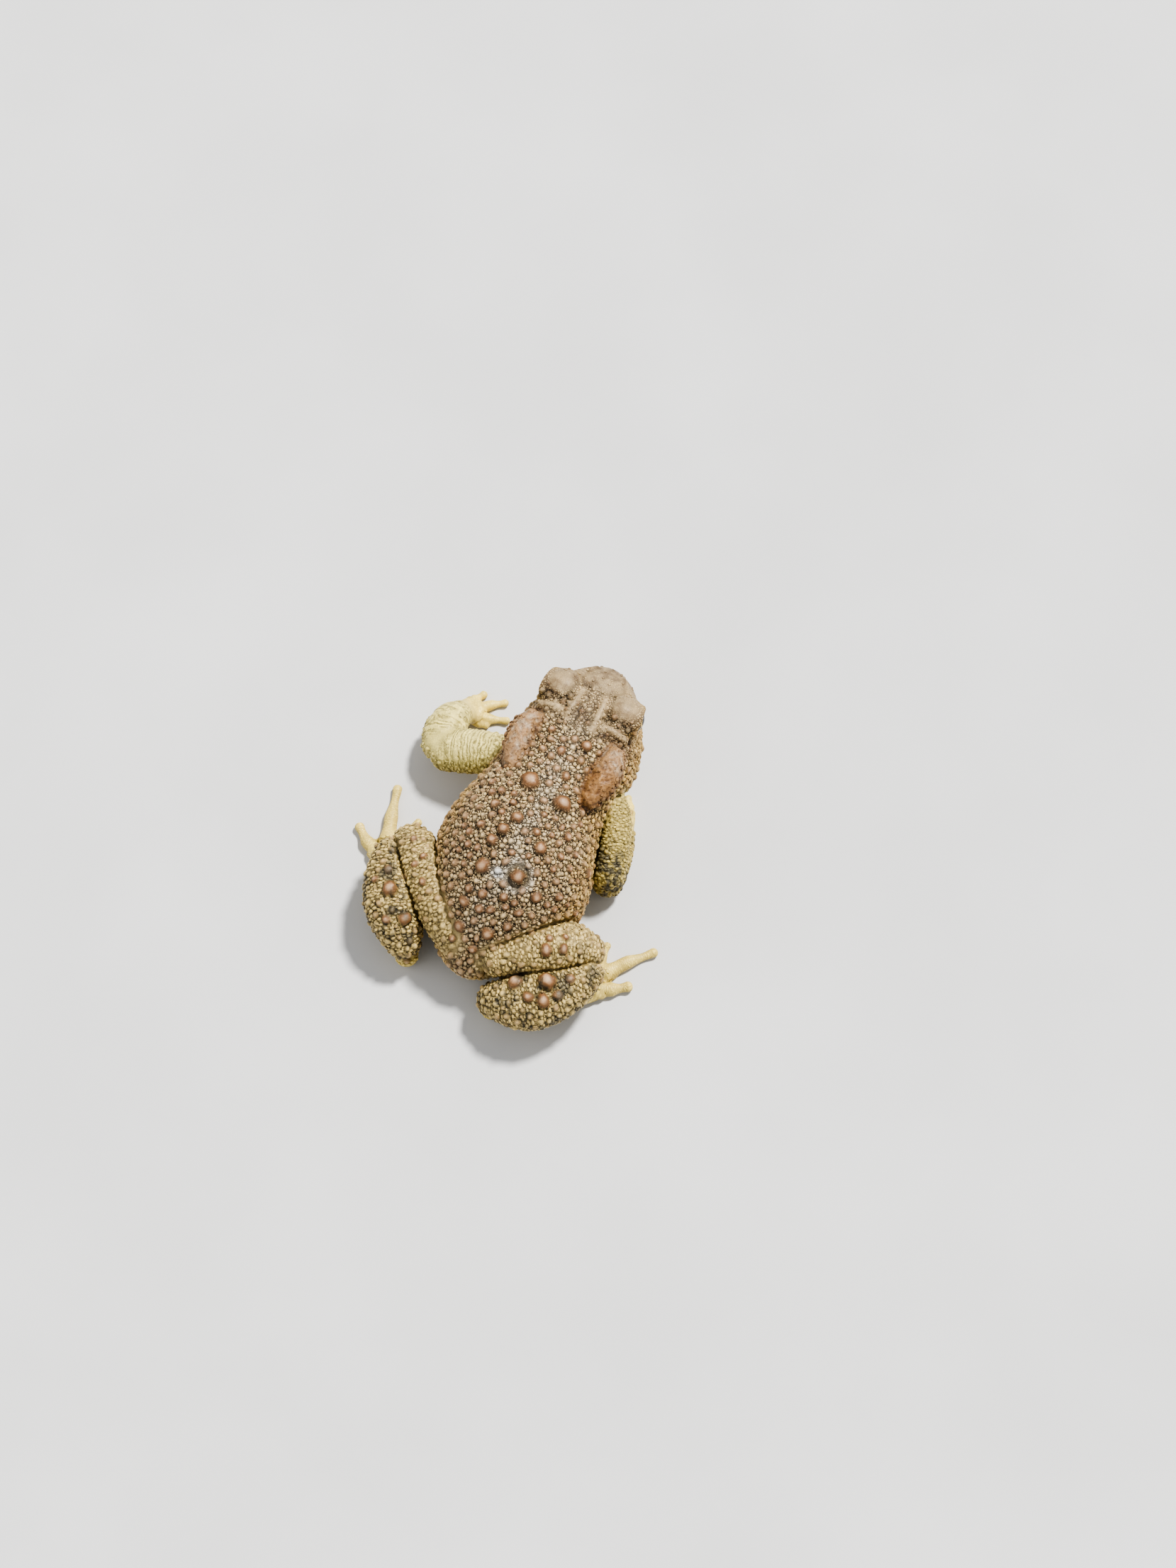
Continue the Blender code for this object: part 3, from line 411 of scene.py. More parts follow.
# %% Open the lids and nostrils
cutters = bmesh.new()
for side in (1, -1):
    for centre, radii in (
        (LID_OPENING_CENTRE, LID_OPENING_RADII),
        (EYE_CENTRE, [EYE_RADIUS + 0.12] * 3),
        (NOSTRIL_CENTRE, (0.6, 0.95, 0.65)),
    ):
        cut = oval_form((centre[0] * side, *centre[1:]), radii, 40, 24)
        part = bpy.data.meshes.new("cut")
        cut.to_mesh(part)
        cut.free()
        cutters.from_mesh(part)
        bpy.data.meshes.remove(part)
cutter = melted(to_object("openings", cutters), GRID * 0.7)
boolean = skin.modifiers.new("Open", "BOOLEAN")
boolean.operation = "DIFFERENCE"
boolean.solver = "MANIFOLD"
boolean.object = cutter
applied(skin)
bpy.data.objects.remove(cutter)
melted(skin, GRID)
print("opened skin:", len(skin.data.vertices), "points")

# %% [markdown]
# ## Working on the surface as arrays
# From here on the skin is sculpted: points are moved along their normals by rules. Arrays make that quick.
# relaxed() moves every point towards the mean of its neighbours, which softens the folds where two forms
# meet. The thin digits are held back, or they would shrink.

# %% Soften the folds
def read_points(mesh):
    points = np.empty(len(mesh.vertices) * 3)
    mesh.vertices.foreach_get("co", points)
    return points.reshape(-1, 3)


def read_normals(mesh):
    normals = np.empty(len(mesh.vertices) * 3)
    mesh.vertices.foreach_get("normal", normals)
    return normals.reshape(-1, 3)


def write_points(mesh, points):
    mesh.vertices.foreach_set("co", points.ravel())
    mesh.update()


def read_edges(mesh):
    edges = np.empty(len(mesh.edges) * 2, dtype=np.int64)
    mesh.edges.foreach_get("vertices", edges)
    return edges.reshape(-1, 2)


def relaxed(values, edges, passes, strength):
    """Moves each row of values towards the mean of its neighbours' rows."""
    count = len(values)
    ends = np.bincount(edges.ravel(), minlength=count)[:, None]
    for _ in range(passes):
        mean = np.empty_like(values)
        for axis in range(values.shape[1]):
            column = values[:, axis]
            mean[:, axis] = np.bincount(edges[:, 0], column[edges[:, 1]], count)
            mean[:, axis] += np.bincount(edges[:, 1], column[edges[:, 0]], count)
        values = values + strength * (mean / ends - values)
    return values


def step_up(value, low, high):
    """0 below low, 1 above high and smooth between; low may be the larger one."""
    t = np.clip((value - low) / (high - low), 0.0, 1.0)
    return t * t * (3.0 - 2.0 * t)


points = read_points(skin.data)
edges = read_edges(skin.data)
thin = np.minimum(step_up(points[:, 2], 5.0, 3.0), step_up(np.abs(points[:, 0] - 1.0), 17.0, 20.0))
fine_head = step_up(points[:, 1], -16.0, -20.0)
strength = 0.5 * (1.0 - 0.85 * np.maximum(thin, 0.6 * fine_head))[:, None]
points = relaxed(points, edges, round(2.4 / GRID), strength)
points[:, 2] = np.maximum(points[:, 2], 0.0)
write_points(skin.data, points)
print("softened")

# %% [markdown]
# ## Which part of the body is each point on?
# Colour and relief differ from back to flank to leg. For every point the distance to each form's own path
# is measured, less the form's thickness; the smallest says what the point belongs to. The same sum gives
# how far along its limb a point lies, which lets wrinkles run round the arm.

# %% Regions
def bell(value, width):
    return np.exp(-(value / width) ** 2)


def distance_to_path(points, path):
    """Distance to the path less its thickness, the length run along it, and the path's direction."""
    best = np.full(len(points), 1e9)
    along = np.zeros(len(points))
    heading = np.zeros((len(points), 3))
    spoke = np.zeros((len(points), 3))
    run = 0.0
    for a, b in zip(path, path[1:]):
        start = np.array(a[:3])
        step = np.array(b[:3]) - start
        length = np.linalg.norm(step)
        t = np.clip((points - start) @ step / length ** 2, 0.0, 1.0)
        out = points - start - t[:, None] * step
        thick = (1.0 - t) * (a[3] + a[4]) / 2 + t * (b[3] + b[4]) / 2
        distance = np.linalg.norm(out, axis=1) - thick
        near = distance < best
        best[near] = distance[near]
        along[near] = run + t[near] * length
        heading[near] = step / length
        spoke[near] = out[near]
        run += length
    return best, along, heading, spoke


def trunk_distance(points):
    """About how far a point lies outside the trunk."""
    y = points[:, 1]
    middle, half, top, side, low, above, below = (trunk_size(y, column) for column in range(1, 8))
    over = points[:, 2] > side
    reach = np.where(over, top - side, side - low) + 1e-6
    power = np.where(over, above, below)
    u = np.abs(points[:, 0] - middle) / np.maximum(half, 0.3)
    v = np.abs(points[:, 2] - side) / reach
    return ((u ** power + v ** power) ** (1.0 / power) - 1.0) * np.minimum(half, reach)


GROUPS = {
    "trunk": (), "thigh": ("thigh",), "shank": ("shank",), "foot": ("foot", "toe"),
    "upper_arm": ("upper_arm",), "forearm": ("forearm",), "hand": ("hand", "finger"),
}


FOLDS = (
    ("thigh", "shank", 1.0), ("trunk", "thigh", 0.8), ("trunk", "shank", 1.0), ("trunk", "upper_arm", 0.7),
    ("trunk", "forearm", 0.7), ("shank", "foot", 0.6),
)


def find_regions(points):
    """For each group its share of every point, and the limb's direction, length along and way round there."""
    names = list(GROUPS)
    far = np.full((len(names), len(points)), 1e9)
    far[0] = trunk_distance(points)
    nearest = far[0].copy()
    heading = np.tile((0.0, 1.0, 0.0), (len(points), 1))
    along = points[:, 1].copy()
    spoke = np.zeros((len(points), 3))
    rows = dict(LIMBS)
    for name, (root, knuckle, tip, thick, thin) in DIGITS.items():
        rows[name] = [(*root, thick, thick, thick), (*knuckle, thick, thick, thick), (*tip, thin, thin, thin)]
    for name, stations in rows.items():
        group = next(i for i, group in enumerate(names) if name.startswith(GROUPS[group] or ("none",)))
        distance, run, direction, out = distance_to_path(points, smoothed(stations, 3))
        far[group] = np.minimum(far[group], distance)
        near = distance < nearest
        nearest[near] = distance[near]
        heading[near] = direction[near]
        along[near] = run[near]
        spoke[near] = out[near]
    shares = np.exp(-(far - far.min(0)) / 0.7)
    shares /= shares.sum(0)
    found = dict(zip(names, shares))
    found["fold"] = np.zeros(len(points))
    for a, b, depth in FOLDS:
        one, other = far[names.index(a)], far[names.index(b)]
        near = step_up(np.minimum(one, other), 2.5, 1.2)
        found["fold"] = np.maximum(found["fold"], depth * near * bell(one - other, 0.75))
    return found, heading, along, spoke


normals = read_normals(skin.data)
share, heading, along, spoke = find_regions(points)
print({name: round(float(values.mean()), 3) for name, values in share.items()})

# %% [markdown]
# ## Head relief
# The mouth is a fine groove with the lower jaw set a little inside the upper lip. The eardrum is a shallow
# round dish with a raised rim, below and behind the eye. Each lid is a smooth dome with a groove round it,
# and the bony crests are ridges between the lids. A ring is pressed in round one wart of the back, and the
# digits swell at their roots. All are shaped by moving points along their normals by a rule of distance,
# summed up in relief, in millimetres.

# %% Mouth, eardrum, lids and crests
RING_WART = (-3.9, 24.7)
RING_RADIUS = 2.6
LID_TOP = (8.8, -26.9, 31.0)


def ring_of(x, y):
    """Distance from the middle of the ringed wart, seen from above."""
    return np.hypot(x - RING_WART[0], y - RING_WART[1])


def from_oval(points, centre, radii, side):
    """Distance from an oval on one side of the head: 0 in its middle, 1 on its surface."""
    return np.linalg.norm((points - (centre[0] * side, *centre[1:])) / radii, axis=1)


upper_side = step_up(points[:, 2], 20.0, 24.0)
relief = np.zeros(len(points))
on_head = share["trunk"] * step_up(points[:, 1], -12.5, -15.0)
below_lip = mouth_height(points[:, 1]) - points[:, 2]
sideways = step_up(normals[:, 2], 0.75, 0.5)
relief -= on_head * sideways * 0.42 * bell(below_lip, 0.38)
relief -= on_head * sideways * 0.5 * np.where(below_lip > 0, np.exp(-below_lip / 2.2), 0.0)
for side in (1, -1):
    place = np.array((EARDRUM[0] * side, *EARDRUM[1:]))
    t = np.linalg.norm((points - place) * (0.6, 1.0, 0.9), axis=1) / 1.9
    relief += on_head * (0.16 * bell(t - 1.0, 0.22) - 0.26 * step_up(t, 1.0, 0.6))
for side in (1, -1):
    rim = bell(from_oval(points, LID_OPENING_CENTRE, LID_OPENING_RADII, side) - 1.12, 0.18) * on_head
    relief += rim * np.where(points[:, 2] > LID_OPENING_CENTRE[2], 0.70, 0.22)
smooth_copy = relaxed(points, edges, round(5.0 / GRID), 0.5)
dent = np.clip(np.einsum("ij,ij->i", smooth_copy - points, normals) / 0.35, 0.0, 1.0)
crest_top = np.zeros(len(points))
crest_side = np.zeros(len(points))
flat_points = points * (1.0, 1.0, 0.0)
for crest in (*CRESTS[:2], mirrored(CRESTS[0]), mirrored(CRESTS[1])):
    away = distance_to_path(flat_points, [(x, y, 0.0, 0.0, 0.0) for x, y, *_ in smoothed(crest, 3)])[0]
    crest_top = np.maximum(crest_top, bell(away, 1.25))
    crest_side = np.maximum(crest_side, bell(away - 2.2, 0.6))
on_crown = share["trunk"] * step_up(points[:, 2], 25.0, 27.5)
crest_top *= on_crown
crest_side *= on_crown * (1.0 - crest_top)
relief += 0.40 * crest_top - 0.15 * crest_side
lid_top = np.zeros(len(points))
for side in (1, -1):
    away = from_oval(points, LID_TOP, (3.8, 3.4, 4.4), side)
    lid_top = np.maximum(lid_top, share["trunk"] * step_up(away, 1.25, 0.75))
    relief -= 0.12 * share["trunk"] * bell(away - 1.2, 0.14)
relief -= 0.35 * share["trunk"] * bell(ring_of(points[:, 0], points[:, 1]) - RING_RADIUS, 0.4) * upper_side
for root, knuckle, tip, thick, thin in DIGITS.values():
    path = [(*root, thick, thick, thick), (*knuckle, thick, thick, thick), (*tip, thin, thin, thin)]
    away, run = distance_to_path(points, path)[:2]
    length = math.dist(root, knuckle) + math.dist(knuckle, tip)
    root_swell = step_up(away, 0.9, 0.3) * step_up(run / length, 0.7, 0.1)
    relief += 0.5 * root_swell * step_up(points[:, 2], 6.0, 4.5)
print("deepest so far, mm:", round(float(relief.min()), 2))

# %% [markdown]
# ## Warts
# The big brown warts stand where they do on this animal: each is given by x, y and diameter and dropped on
# the skin from above. About a thousand smaller ones crowd the back, the flanks and the legs. Their places
# come from a seeded draw, and pack() keeps, from the largest down, each that has room. It sorts the places
# into the cells of a grid, so that each is compared only with those close by.

# %% Place the warts
NAMED_WARTS = (
    (3.9, 1.4, 4.6), (-5.5, 3.1, 4.6), (5.3, 25.9, 3.9), (4.4, 15.8, 3.4), (-3.9, 24.7, 3.6),
    (2.6, 11.8, 3.2), (-5.8, 16.1, 3.2), (5.2, 39.8, 3.2), (-2.2, 38.8, 3.2), (6.3, 34.7, 3.0),
    (5.9, 19.3, 2.9), (-4.4, -13.6, 2.8), (-9.8, 26.7, 2.8), (-6.0, 35.5, 2.6), (-3.3, -3.8, 2.5),
    (10.3, 16.6, 2.5), (9.3, 10.6, 2.5), (6.4, 31.6, 2.5), (2.6, 31.7, 2.5), (-2.6, 30.2, 2.5),
    (1.9, 34.9, 2.5), (-10.3, 9.8, 2.5), (-17.4, 13.3, 2.5), (0.7, -9.6, 2.5), (-14.4, 23.4, 2.4),
    (0.0, 43.1, 2.3), (-3.4, 13.0, 2.2), (12.4, 19.0, 2.2), (-7.4, 31.7, 2.2), (-0.7, 34.2, 2.2),
    (5.5, -14.0, 2.1), (-13.9, 16.1, 2.1), (11.3, 22.1, 2.1), (-5.5, 30.4, 2.1), (9.5, 6.7, 2.1),
    (12.9, 5.0, 2.1), (11.6, 7.7, 2.1), (6.8, 12.0, 1.9), (8.6, 22.3, 1.9), (-12.8, 26.6, 1.9),
    (5.3, 8.6, 1.8), (-13.6, 12.2, 1.8), (-10.7, 18.9, 1.9), (-11.0, 15.1, 1.8), (-16.6, 17.2, 1.8),
    (0.0, 20.3, 1.8), (9.6, 24.6, 1.8), (10.1, 26.8, 1.8), (-4.1, 19.2, 1.7), (6.2, 6.3, 1.8),
    (-8.2, 8.6, 1.7), (-6.9, 11.7, 1.7), (-3.0, 8.1, 1.7), (-18.8, 23.2, 2.1), (-16.8, 23.4, 1.7),
    (-14.6, 26.4, 1.9), (-11.5, 4.8, 1.7), (14.4, 17.9, 1.8), (13.0, 23.9, 1.8), (-3.9, 32.2, 1.8),
    (5.9, 42.8, 1.9),
    (-20.5, 42.7, 4.8), (-13.2, 45.8, 3.9), (-21.6, 47.4, 3.4), (-24.4, 44.6, 2.7), (-17.9, 48.3, 2.7),
    (-25.3, 39.5, 2.6), (-17.1, 36.2, 3.1), (-20.8, 34.0, 2.4), (-16.6, 33.2, 1.9), (-19.9, 31.0, 1.8),
    (25.9, 37.9, 3.9), (19.4, 42.8, 3.2), (23.5, 45.1, 2.3), (28.6, 33.4, 2.3), (30.6, 37.0, 1.9),
    (18.8, 33.4, 2.0), (21.7, 27.2, 1.9), (22.8, 29.8, 1.9), (26.4, 23.5, 1.8),
)
WART_RISE = 0.35        # height of a wart for its width
WART_SPREAD = 0.57      # radius of a wart's foot for the diameter given above
WART_TRIES = 16000
draw = np.random.default_rng(SEED)


def points_tree(points):
    tree = KDTree(len(points))
    for i, point in enumerate(points):
        tree.insert(point, i)
    tree.balance()
    return tree


surface = BVHTree.FromPolygons(
    [Vector(p) for p in points.tolist()], [tuple(face.vertices) for face in skin.data.polygons]
)
near_points = points_tree(points.tolist())
warts = []
for x, y, diameter in NAMED_WARTS:
    place, normal, _, _ = surface.ray_cast(Vector((x, y, 90.0)), -UP)
    if place is not None:
        warts.append((np.array(place), diameter * WART_SPREAD, 1.0))
print(len(warts), "warts placed by hand")

# %% Scatter smaller warts
def pack(order, seats, sizes, space, cell, taken=()):
    """Goes through the places in order and keeps each that stays clear of those kept before it."""
    kept = []
    cells = {}
    steps = [(i, j, k) for i in (-1, 0, 1) for j in (-1, 0, 1) for k in (-1, 0, 1)]
    for place, radius in taken:
        cells.setdefault(tuple(int(p // cell) for p in place), []).append((*place, radius))
    for i in order:
        x, y, z = seats[i]
        radius = sizes[i]
        at = (int(x // cell), int(y // cell), int(z // cell))
        crowded = any(
            (x - ox) ** 2 + (y - oy) ** 2 + (z - oz) ** 2 < (space * (radius + other)) ** 2
            for di, dj, dk in steps
            for ox, oy, oz, other in cells.get((at[0] + di, at[1] + dj, at[2] + dk), ())
        )
        if not crowded:
            kept.append(i)
            cells.setdefault(at, []).append((x, y, z, radius))
    return np.array(kept)


upward = step_up(normals[:, 2], -0.2, 0.3)
not_head = step_up(points[:, 1], -17.0, -13.0)
crown_of_back = share["trunk"] * upward * not_head
flank_side = crown_of_back * step_up(normals[:, 2], 0.75, 0.35)
legs = share["thigh"] + share["shank"]
arms = share["upper_arm"] + share["forearm"]
nape = share["trunk"] * (1.0 - not_head) * upward * step_up(points[:, 1], -27.0, -23.0) * (1.0 - lid_top)
on_gland = np.zeros(len(points))
for stations in GLANDS:
    on_gland = np.maximum(on_gland, step_up(distance_to_path(points, smoothed(stations, 3))[0], 1.0, 0.3))
left_arm = arms * step_up(points[:, 0], 18.0, 22.0)
left_rim = left_arm * step_up(normals[:, 2], 0.65, 0.35) * step_up(points[:, 1], -12.0, -8.0)
chance = crown_of_back + 0.28 * legs * upward + 0.5 * (arms - left_arm + left_rim) * upward + 0.35 * nape
chance *= (1.0 - on_gland) * (1.0 - crest_top)
tried = draw.choice(len(points), size=WART_TRIES, p=chance / chance.sum())
smallest = 0.52 + 0.08 * flank_side[tried] - 0.14 * arms[tried]
largest = 1.20 - 0.2 * legs[tried] - 0.5 * arms[tried] - 0.35 * nape[tried]
wart_radius = smallest + (largest - smallest) * draw.random(len(tried)) ** 2.4
in_order = np.argsort(-wart_radius)
named = [(tuple(place), radius) for place, radius, _ in warts]
kept_warts = pack(in_order, points[tried].tolist(), wart_radius.tolist(), 1.15, 3.6, named)
for i in kept_warts:
    brown = 0.75 if wart_radius[i] > 0.98 else 0.5 * (draw.random() < 0.35) + 0.05
    brown *= 1.0 - 0.8 * arms[tried[i]] - 0.35 * flank_side[tried[i]] - 0.35 * legs[tried[i]]
    warts.append((points[tried[i]], wart_radius[i], brown))
print(len(kept_warts), "smaller warts")

# %% [markdown]
# A wart is a dome with steep sides, so its height falls off as (1 - t^2)^0.7, where t runs from its middle
# to its foot. No wart is quite round: each is drawn out a little in a direction of its own, and noise bends
# its outline. Round the foot the skin dips.

# %% Raise the warts
wander = np.array([noise.noise(Vector(p) * 0.22) for p in points.tolist()])
lumps = np.array([noise.noise(Vector(p) * 0.75) for p in points.tolist()])
crumple = np.array([noise.noise(Vector(p) * 1.5) for p in points.tolist()])
wart_colour = np.zeros(len(points))
wart_shape = np.zeros(len(points))
foot_of_wart = np.zeros(len(points))
point_rows = points.tolist()
for place, radius, colour in warts:
    middle = Vector(place)
    drawn = Vector(draw.normal(size=3)).normalized()
    longer = 0.3 * draw.random()
    tall = WART_RISE * 2 * radius * (0.8 + 0.4 * draw.random())
    for _, i, distance in near_points.find_range(middle, radius * 1.9):
        out = Vector(point_rows[i]) - middle
        t = distance / radius * (1.0 - longer * (out.normalized().dot(drawn)) ** 2 + 0.5 * longer)
        t *= 1.0 + 0.12 * crumple[i] + 0.25 * lumps[i]
        if t < 1.0:
            dome = (1.0 - t * t) ** 0.7
            relief[i] += tall * dome
            wart_shape[i] = max(wart_shape[i], dome)
            wart_colour[i] = max(wart_colour[i], colour * min(1.0, dome * 1.6))
        elif t < 1.5:
            foot_of_wart[i] = max(foot_of_wart[i], (1.5 - t) / 0.5)
relief -= 0.18 * foot_of_wart
print("highest relief, mm:", round(float(relief.max()), 2))

# %% [markdown]
# ## Folds and wrinkles
# Skin gathers in fine rings round a bent arm and in a few long wrinkles on the flank. The rings are a wave
# of the length run along the limb, bent by noise so that no two are alike. A low, soft noise keeps the
# rest of the skin from looking poured.

# %% Wrinkles
sure = step_up(np.max([share[name] for name in GROUPS], axis=0), 0.70, 0.95)
arm_like = sure * (share["upper_arm"] + share["forearm"])
rings_round = np.abs(np.sin((along + 2.4 * wander) * math.pi / 2.1)) ** 0.6
relief += arm_like * (1.0 - wart_shape) * 0.32 * (rings_round - 0.6)
leg_rings = np.abs(np.sin((along + 3.0 * wander + 1.2 * lumps) * math.pi / 1.9)) ** 0.6
relief += sure * legs * (1.0 - wart_shape) * 0.22 * (leg_rings - 0.6)
body_like = share["trunk"] * not_head
relief += (0.16 * body_like + 0.08 * legs) * lumps * (1.0 - wart_shape)
worms = 0.5 - np.minimum(np.abs(crumple) * 3.0, 1.0)
relief += (0.20 * body_like + 0.24 * nape + 0.10 * legs) * worms * (1.0 - wart_shape)
snout = share["trunk"] * step_up(points[:, 1], -27.0, -31.0)
relief += 0.07 * snout * lumps + 0.05 * (1.0 - not_head) * share["trunk"] * crumple
relief += on_gland * (0.24 * lumps + 0.08 * crumple - 0.1)
relief *= 1.0 - 0.7 * dent
fold = share["fold"] * np.clip(dent * 3.0 - 0.2, 0.0, 1.0)
relief -= 2.2 * fold
points_out = points + normals * relief[:, None]
points_out[:, 2] = np.maximum(points_out[:, 2], 0.0)
print("mean dent:", round(float(dent.mean()), 3))

# %% [markdown]
# ## Markings
# The markings are masks, one number for each point: how golden the flank is, how pale the line down the
# back, and so on. A toad's colours follow its forms, so rules of place can give them. The same rules also
# paint light and shade into the colour: paler wart and crest tops as painted highlight, and painted shade at
# the foot of each wart, beside the crests, in dents and folds, on the right arm and at the rear of the right
# gland.
# Every colour is mixed from them twice. ground is the colour low between the granules,
# crown the colour of their tops. The dark ground is partly the skin's own colour and partly painted shade
# in the creases. The skin and the granules on it read the same two colours.

# %% Masks of the markings
PALE_LINE = ((0.0, -24.0), (-0.3, -17.0), (-0.4, -10.0), (0.2, -3.7), (-0.6, 4.0), (-1.0, 12.9), (-0.9, 20.9),
             (1.1, 25.8), (1.6, 32.0), (2.0, 40.0))
WHITE_PATCH = (1.3, 26.0)


def find_masks(points, normals, share, wander, lumps):
    x, y, z = points.T
    trunk = share["trunk"]
    half = np.maximum(trunk_size(y, 2), 0.5)
    across = np.abs(x - trunk_size(y, 1)) / half
    masks = {}
    masks["under"] = np.maximum(step_up(normals[:, 2], -0.05, -0.55), trunk * step_up(z, 5.0, 2.5))
    masks["head"] = trunk * step_up(y, -15.0, -18.0)
    masks["flank"] = trunk * step_up(across + 0.12 * wander, 0.70, 0.93) * (1.0 - 0.7 * masks["head"])
    line = np.interp(y, [row[1] for row in PALE_LINE], [row[0] for row in PALE_LINE])
    masks["halo"] = 0.8 * trunk * bell(ring_of(x, y) - 3.5, 0.7) * step_up(z, 20.0, 24.0)
    width = 2.4 + 4.0 * lumps + 3.0 * wander
    masks["pale"] = trunk * step_up(np.abs(x - line), width + 2.2, width - 1.0) * step_up(z, 14.0, 18.0)
    masks["pale"] *= np.interp(y, (-24.0, -14.0, -4.0, 28.0, 38.0, 44.0), (0.1, 0.45, 0.7, 0.85, 0.4, 0.0))
    spot = np.hypot(x - WHITE_PATCH[0], (y - WHITE_PATCH[1]) * 1.2)
    masks["white"] = trunk * step_up(spot + 0.8 * lumps, 2.2, 0.9) * step_up(z, 20.0, 24.0)
    masks["dark"] = trunk * bell(ring_of(x, y) - RING_RADIUS, 0.45) * step_up(z, 20.0, 24.0)
    masks["dark"] *= 0.75 + 0.25 * lumps
    masks["gland"] = np.zeros(len(points))
    masks["gland_edge"] = np.zeros(len(points))
    for stations in GLANDS:
        away = distance_to_path(points, smoothed(stations, 3))[0] + 0.7 * lumps
        masks["gland"] = np.maximum(masks["gland"], trunk * step_up(away, 0.9, 0.0))
        # the brown rim round each gland is partly its own colour and partly painted shade at its edge
        edge = 0.85 * trunk * step_up(away, 0.9, 0.4) * step_up(away + 1.4 * lumps, -1.6, -0.1)
        masks["gland_edge"] = np.maximum(masks["gland_edge"], edge)
    masks["cheek"] = trunk * step_up(y, -9.0, -13.0) * step_up(normals[:, 2], 0.60, 0.25)
    masks["cheek"] *= 0.85 * step_up(y + 5.0 * wander, -37.0, -27.0)
    masks["mottle"] = 0.8 * masks["head"] * step_up(lumps + 1.1 * wander, 0.0, 0.4)
    masks["mottle"] *= step_up(normals[:, 2], -0.3, 0.2)
    masks["thigh"] = share["thigh"]
    # the darker brown at the rear of the right gland is partly its own colour and partly painted shade on the
    # side away from the light
    masks["gland_rear"] = masks["gland"] * step_up(x, 4.0, -4.0) * step_up(y + 3.0 * wander, -13.0, -8.0)
    right_arm = (share["upper_arm"] + share["forearm"]) * step_up(x, 0.0, -5.0)
    masks["blotch"] = right_arm * step_up(y, -1.0, 6.0) * step_up(lumps + 0.6 * wander, 0.0, 0.2)
    heel = (0.5 * share["thigh"] + share["shank"]) * step_up(lumps + 1.2 * wander, 0.22, 0.45)
    masks["blotch"] = np.maximum(0.9 * masks["blotch"], 0.75 * heel)
    masks["leg"] = share["thigh"] + share["shank"] + 0.6 * share["foot"]
    masks["arm"] = share["upper_arm"] + share["forearm"]
    # painted shade: the right arm takes a darker copy of the arm's colours
    masks["arm_right"] = masks["arm"] * step_up(x, 0.0, -5.0)
    masks["digit"] = 0.8 * share["foot"] + share["hand"]
    return masks


masks = find_masks(points, normals, share, wander, lumps)
print({name: round(float(values.mean()), 3) for name, values in masks.items()})

# %% [markdown]
# ## Mixing the colours
# Each marking has two colours, for the ground and the crown. They are laid over one another in order, from
# the plain brown of the back up to the dark ring, as a painter would.

# %% Colours of the markings
COLOURS = {
    # marking: (ground between the granules, crown of the granules), linear
    "back": ((0.050, 0.024, 0.008), (0.620, 0.465, 0.250)),
    "flank": ((0.045, 0.019, 0.005), (0.720, 0.490, 0.190)),
    "head": ((0.095, 0.052, 0.022), (0.560, 0.415, 0.230)),
    "mottle": ((0.050, 0.022, 0.007), (0.215, 0.130, 0.055)),
    "cheek": ((0.120, 0.056, 0.014), (0.640, 0.430, 0.150)),
    "lid": ((0.180, 0.120, 0.060), (0.480, 0.370, 0.220)),
    "crest": ((0.170, 0.100, 0.042), (0.660, 0.510, 0.300)),
    "leg": ((0.026, 0.015, 0.005), (0.660, 0.495, 0.200)),
    "thigh": ((0.055, 0.033, 0.010), (0.690, 0.520, 0.215)),
    "arm": ((0.115, 0.082, 0.018), (0.800, 0.680, 0.255)),
    "arm_right": ((0.090, 0.060, 0.014), (0.640, 0.500, 0.170)),
    "digit": ((0.380, 0.270, 0.065), (0.860, 0.680, 0.215)),
    "under": ((0.420, 0.330, 0.180), (0.700, 0.600, 0.380)),
    "pale": ((0.055, 0.036, 0.018), (0.640, 0.530, 0.360)),
    "gland": ((0.220, 0.145, 0.080), (0.650, 0.505, 0.345)),
    "gland_rear": ((0.085, 0.033, 0.009), (0.360, 0.185, 0.072)),
    "gland_edge": ((0.070, 0.027, 0.008), (0.310, 0.165, 0.060)),
    "halo": ((0.200, 0.160, 0.110), (0.720, 0.640, 0.500)),
    "wart": ((0.050, 0.017, 0.005), (0.250, 0.120, 0.045)),
    # painted highlight on the tops of the warts
    "wart_top_highlight": ((0.300, 0.170, 0.090), (0.600, 0.420, 0.270)),
    "blotch": ((0.010, 0.008, 0.004), (0.110, 0.095, 0.060)),
    "white": ((0.300, 0.270, 0.220), (0.780, 0.750, 0.690)),
    "dark": ((0.010, 0.008, 0.006), (0.040, 0.034, 0.028)),
}
LAYERS = tuple(COLOURS)[1:]


def mix_colours(masks):
    """Ground and crown colour of every point."""
    count = len(masks["head"])
    pair = []
    for which in (0, 1):
        colour = np.tile(COLOURS["back"][which], (count, 1))
        for name in LAYERS:
            share_of = np.clip(masks[name], 0.0, 1.0)[:, None]
            colour = colour * (1.0 - share_of) + np.array(COLOURS[name][which]) * share_of
        pair.append(colour)
    return pair


masks["wart"] = wart_colour
# painted highlight: the crests' tops are mixed paler, in patches
masks["crest"] = crest_top * np.clip(0.15 + 0.8 * lumps, 0.0, 0.50)
masks["lid"] = 0.25 * lid_top
# painted highlight: the top of each brown wart is mixed paler
masks["wart_top_highlight"] = 0.75 * wart_colour * step_up(wart_shape, 0.80, 1.0)
ground, crown = mix_colours(masks)
# painted shade: ground and crown are darkened in a ring round the foot of each wart
foot = foot_of_wart * (1.0 - np.clip(wart_shape * 4.0, 0.0, 1.0))
ground *= (1.0 - 0.7 * foot)[:, None]
crown *= (1.0 - 0.35 * foot)[:, None]
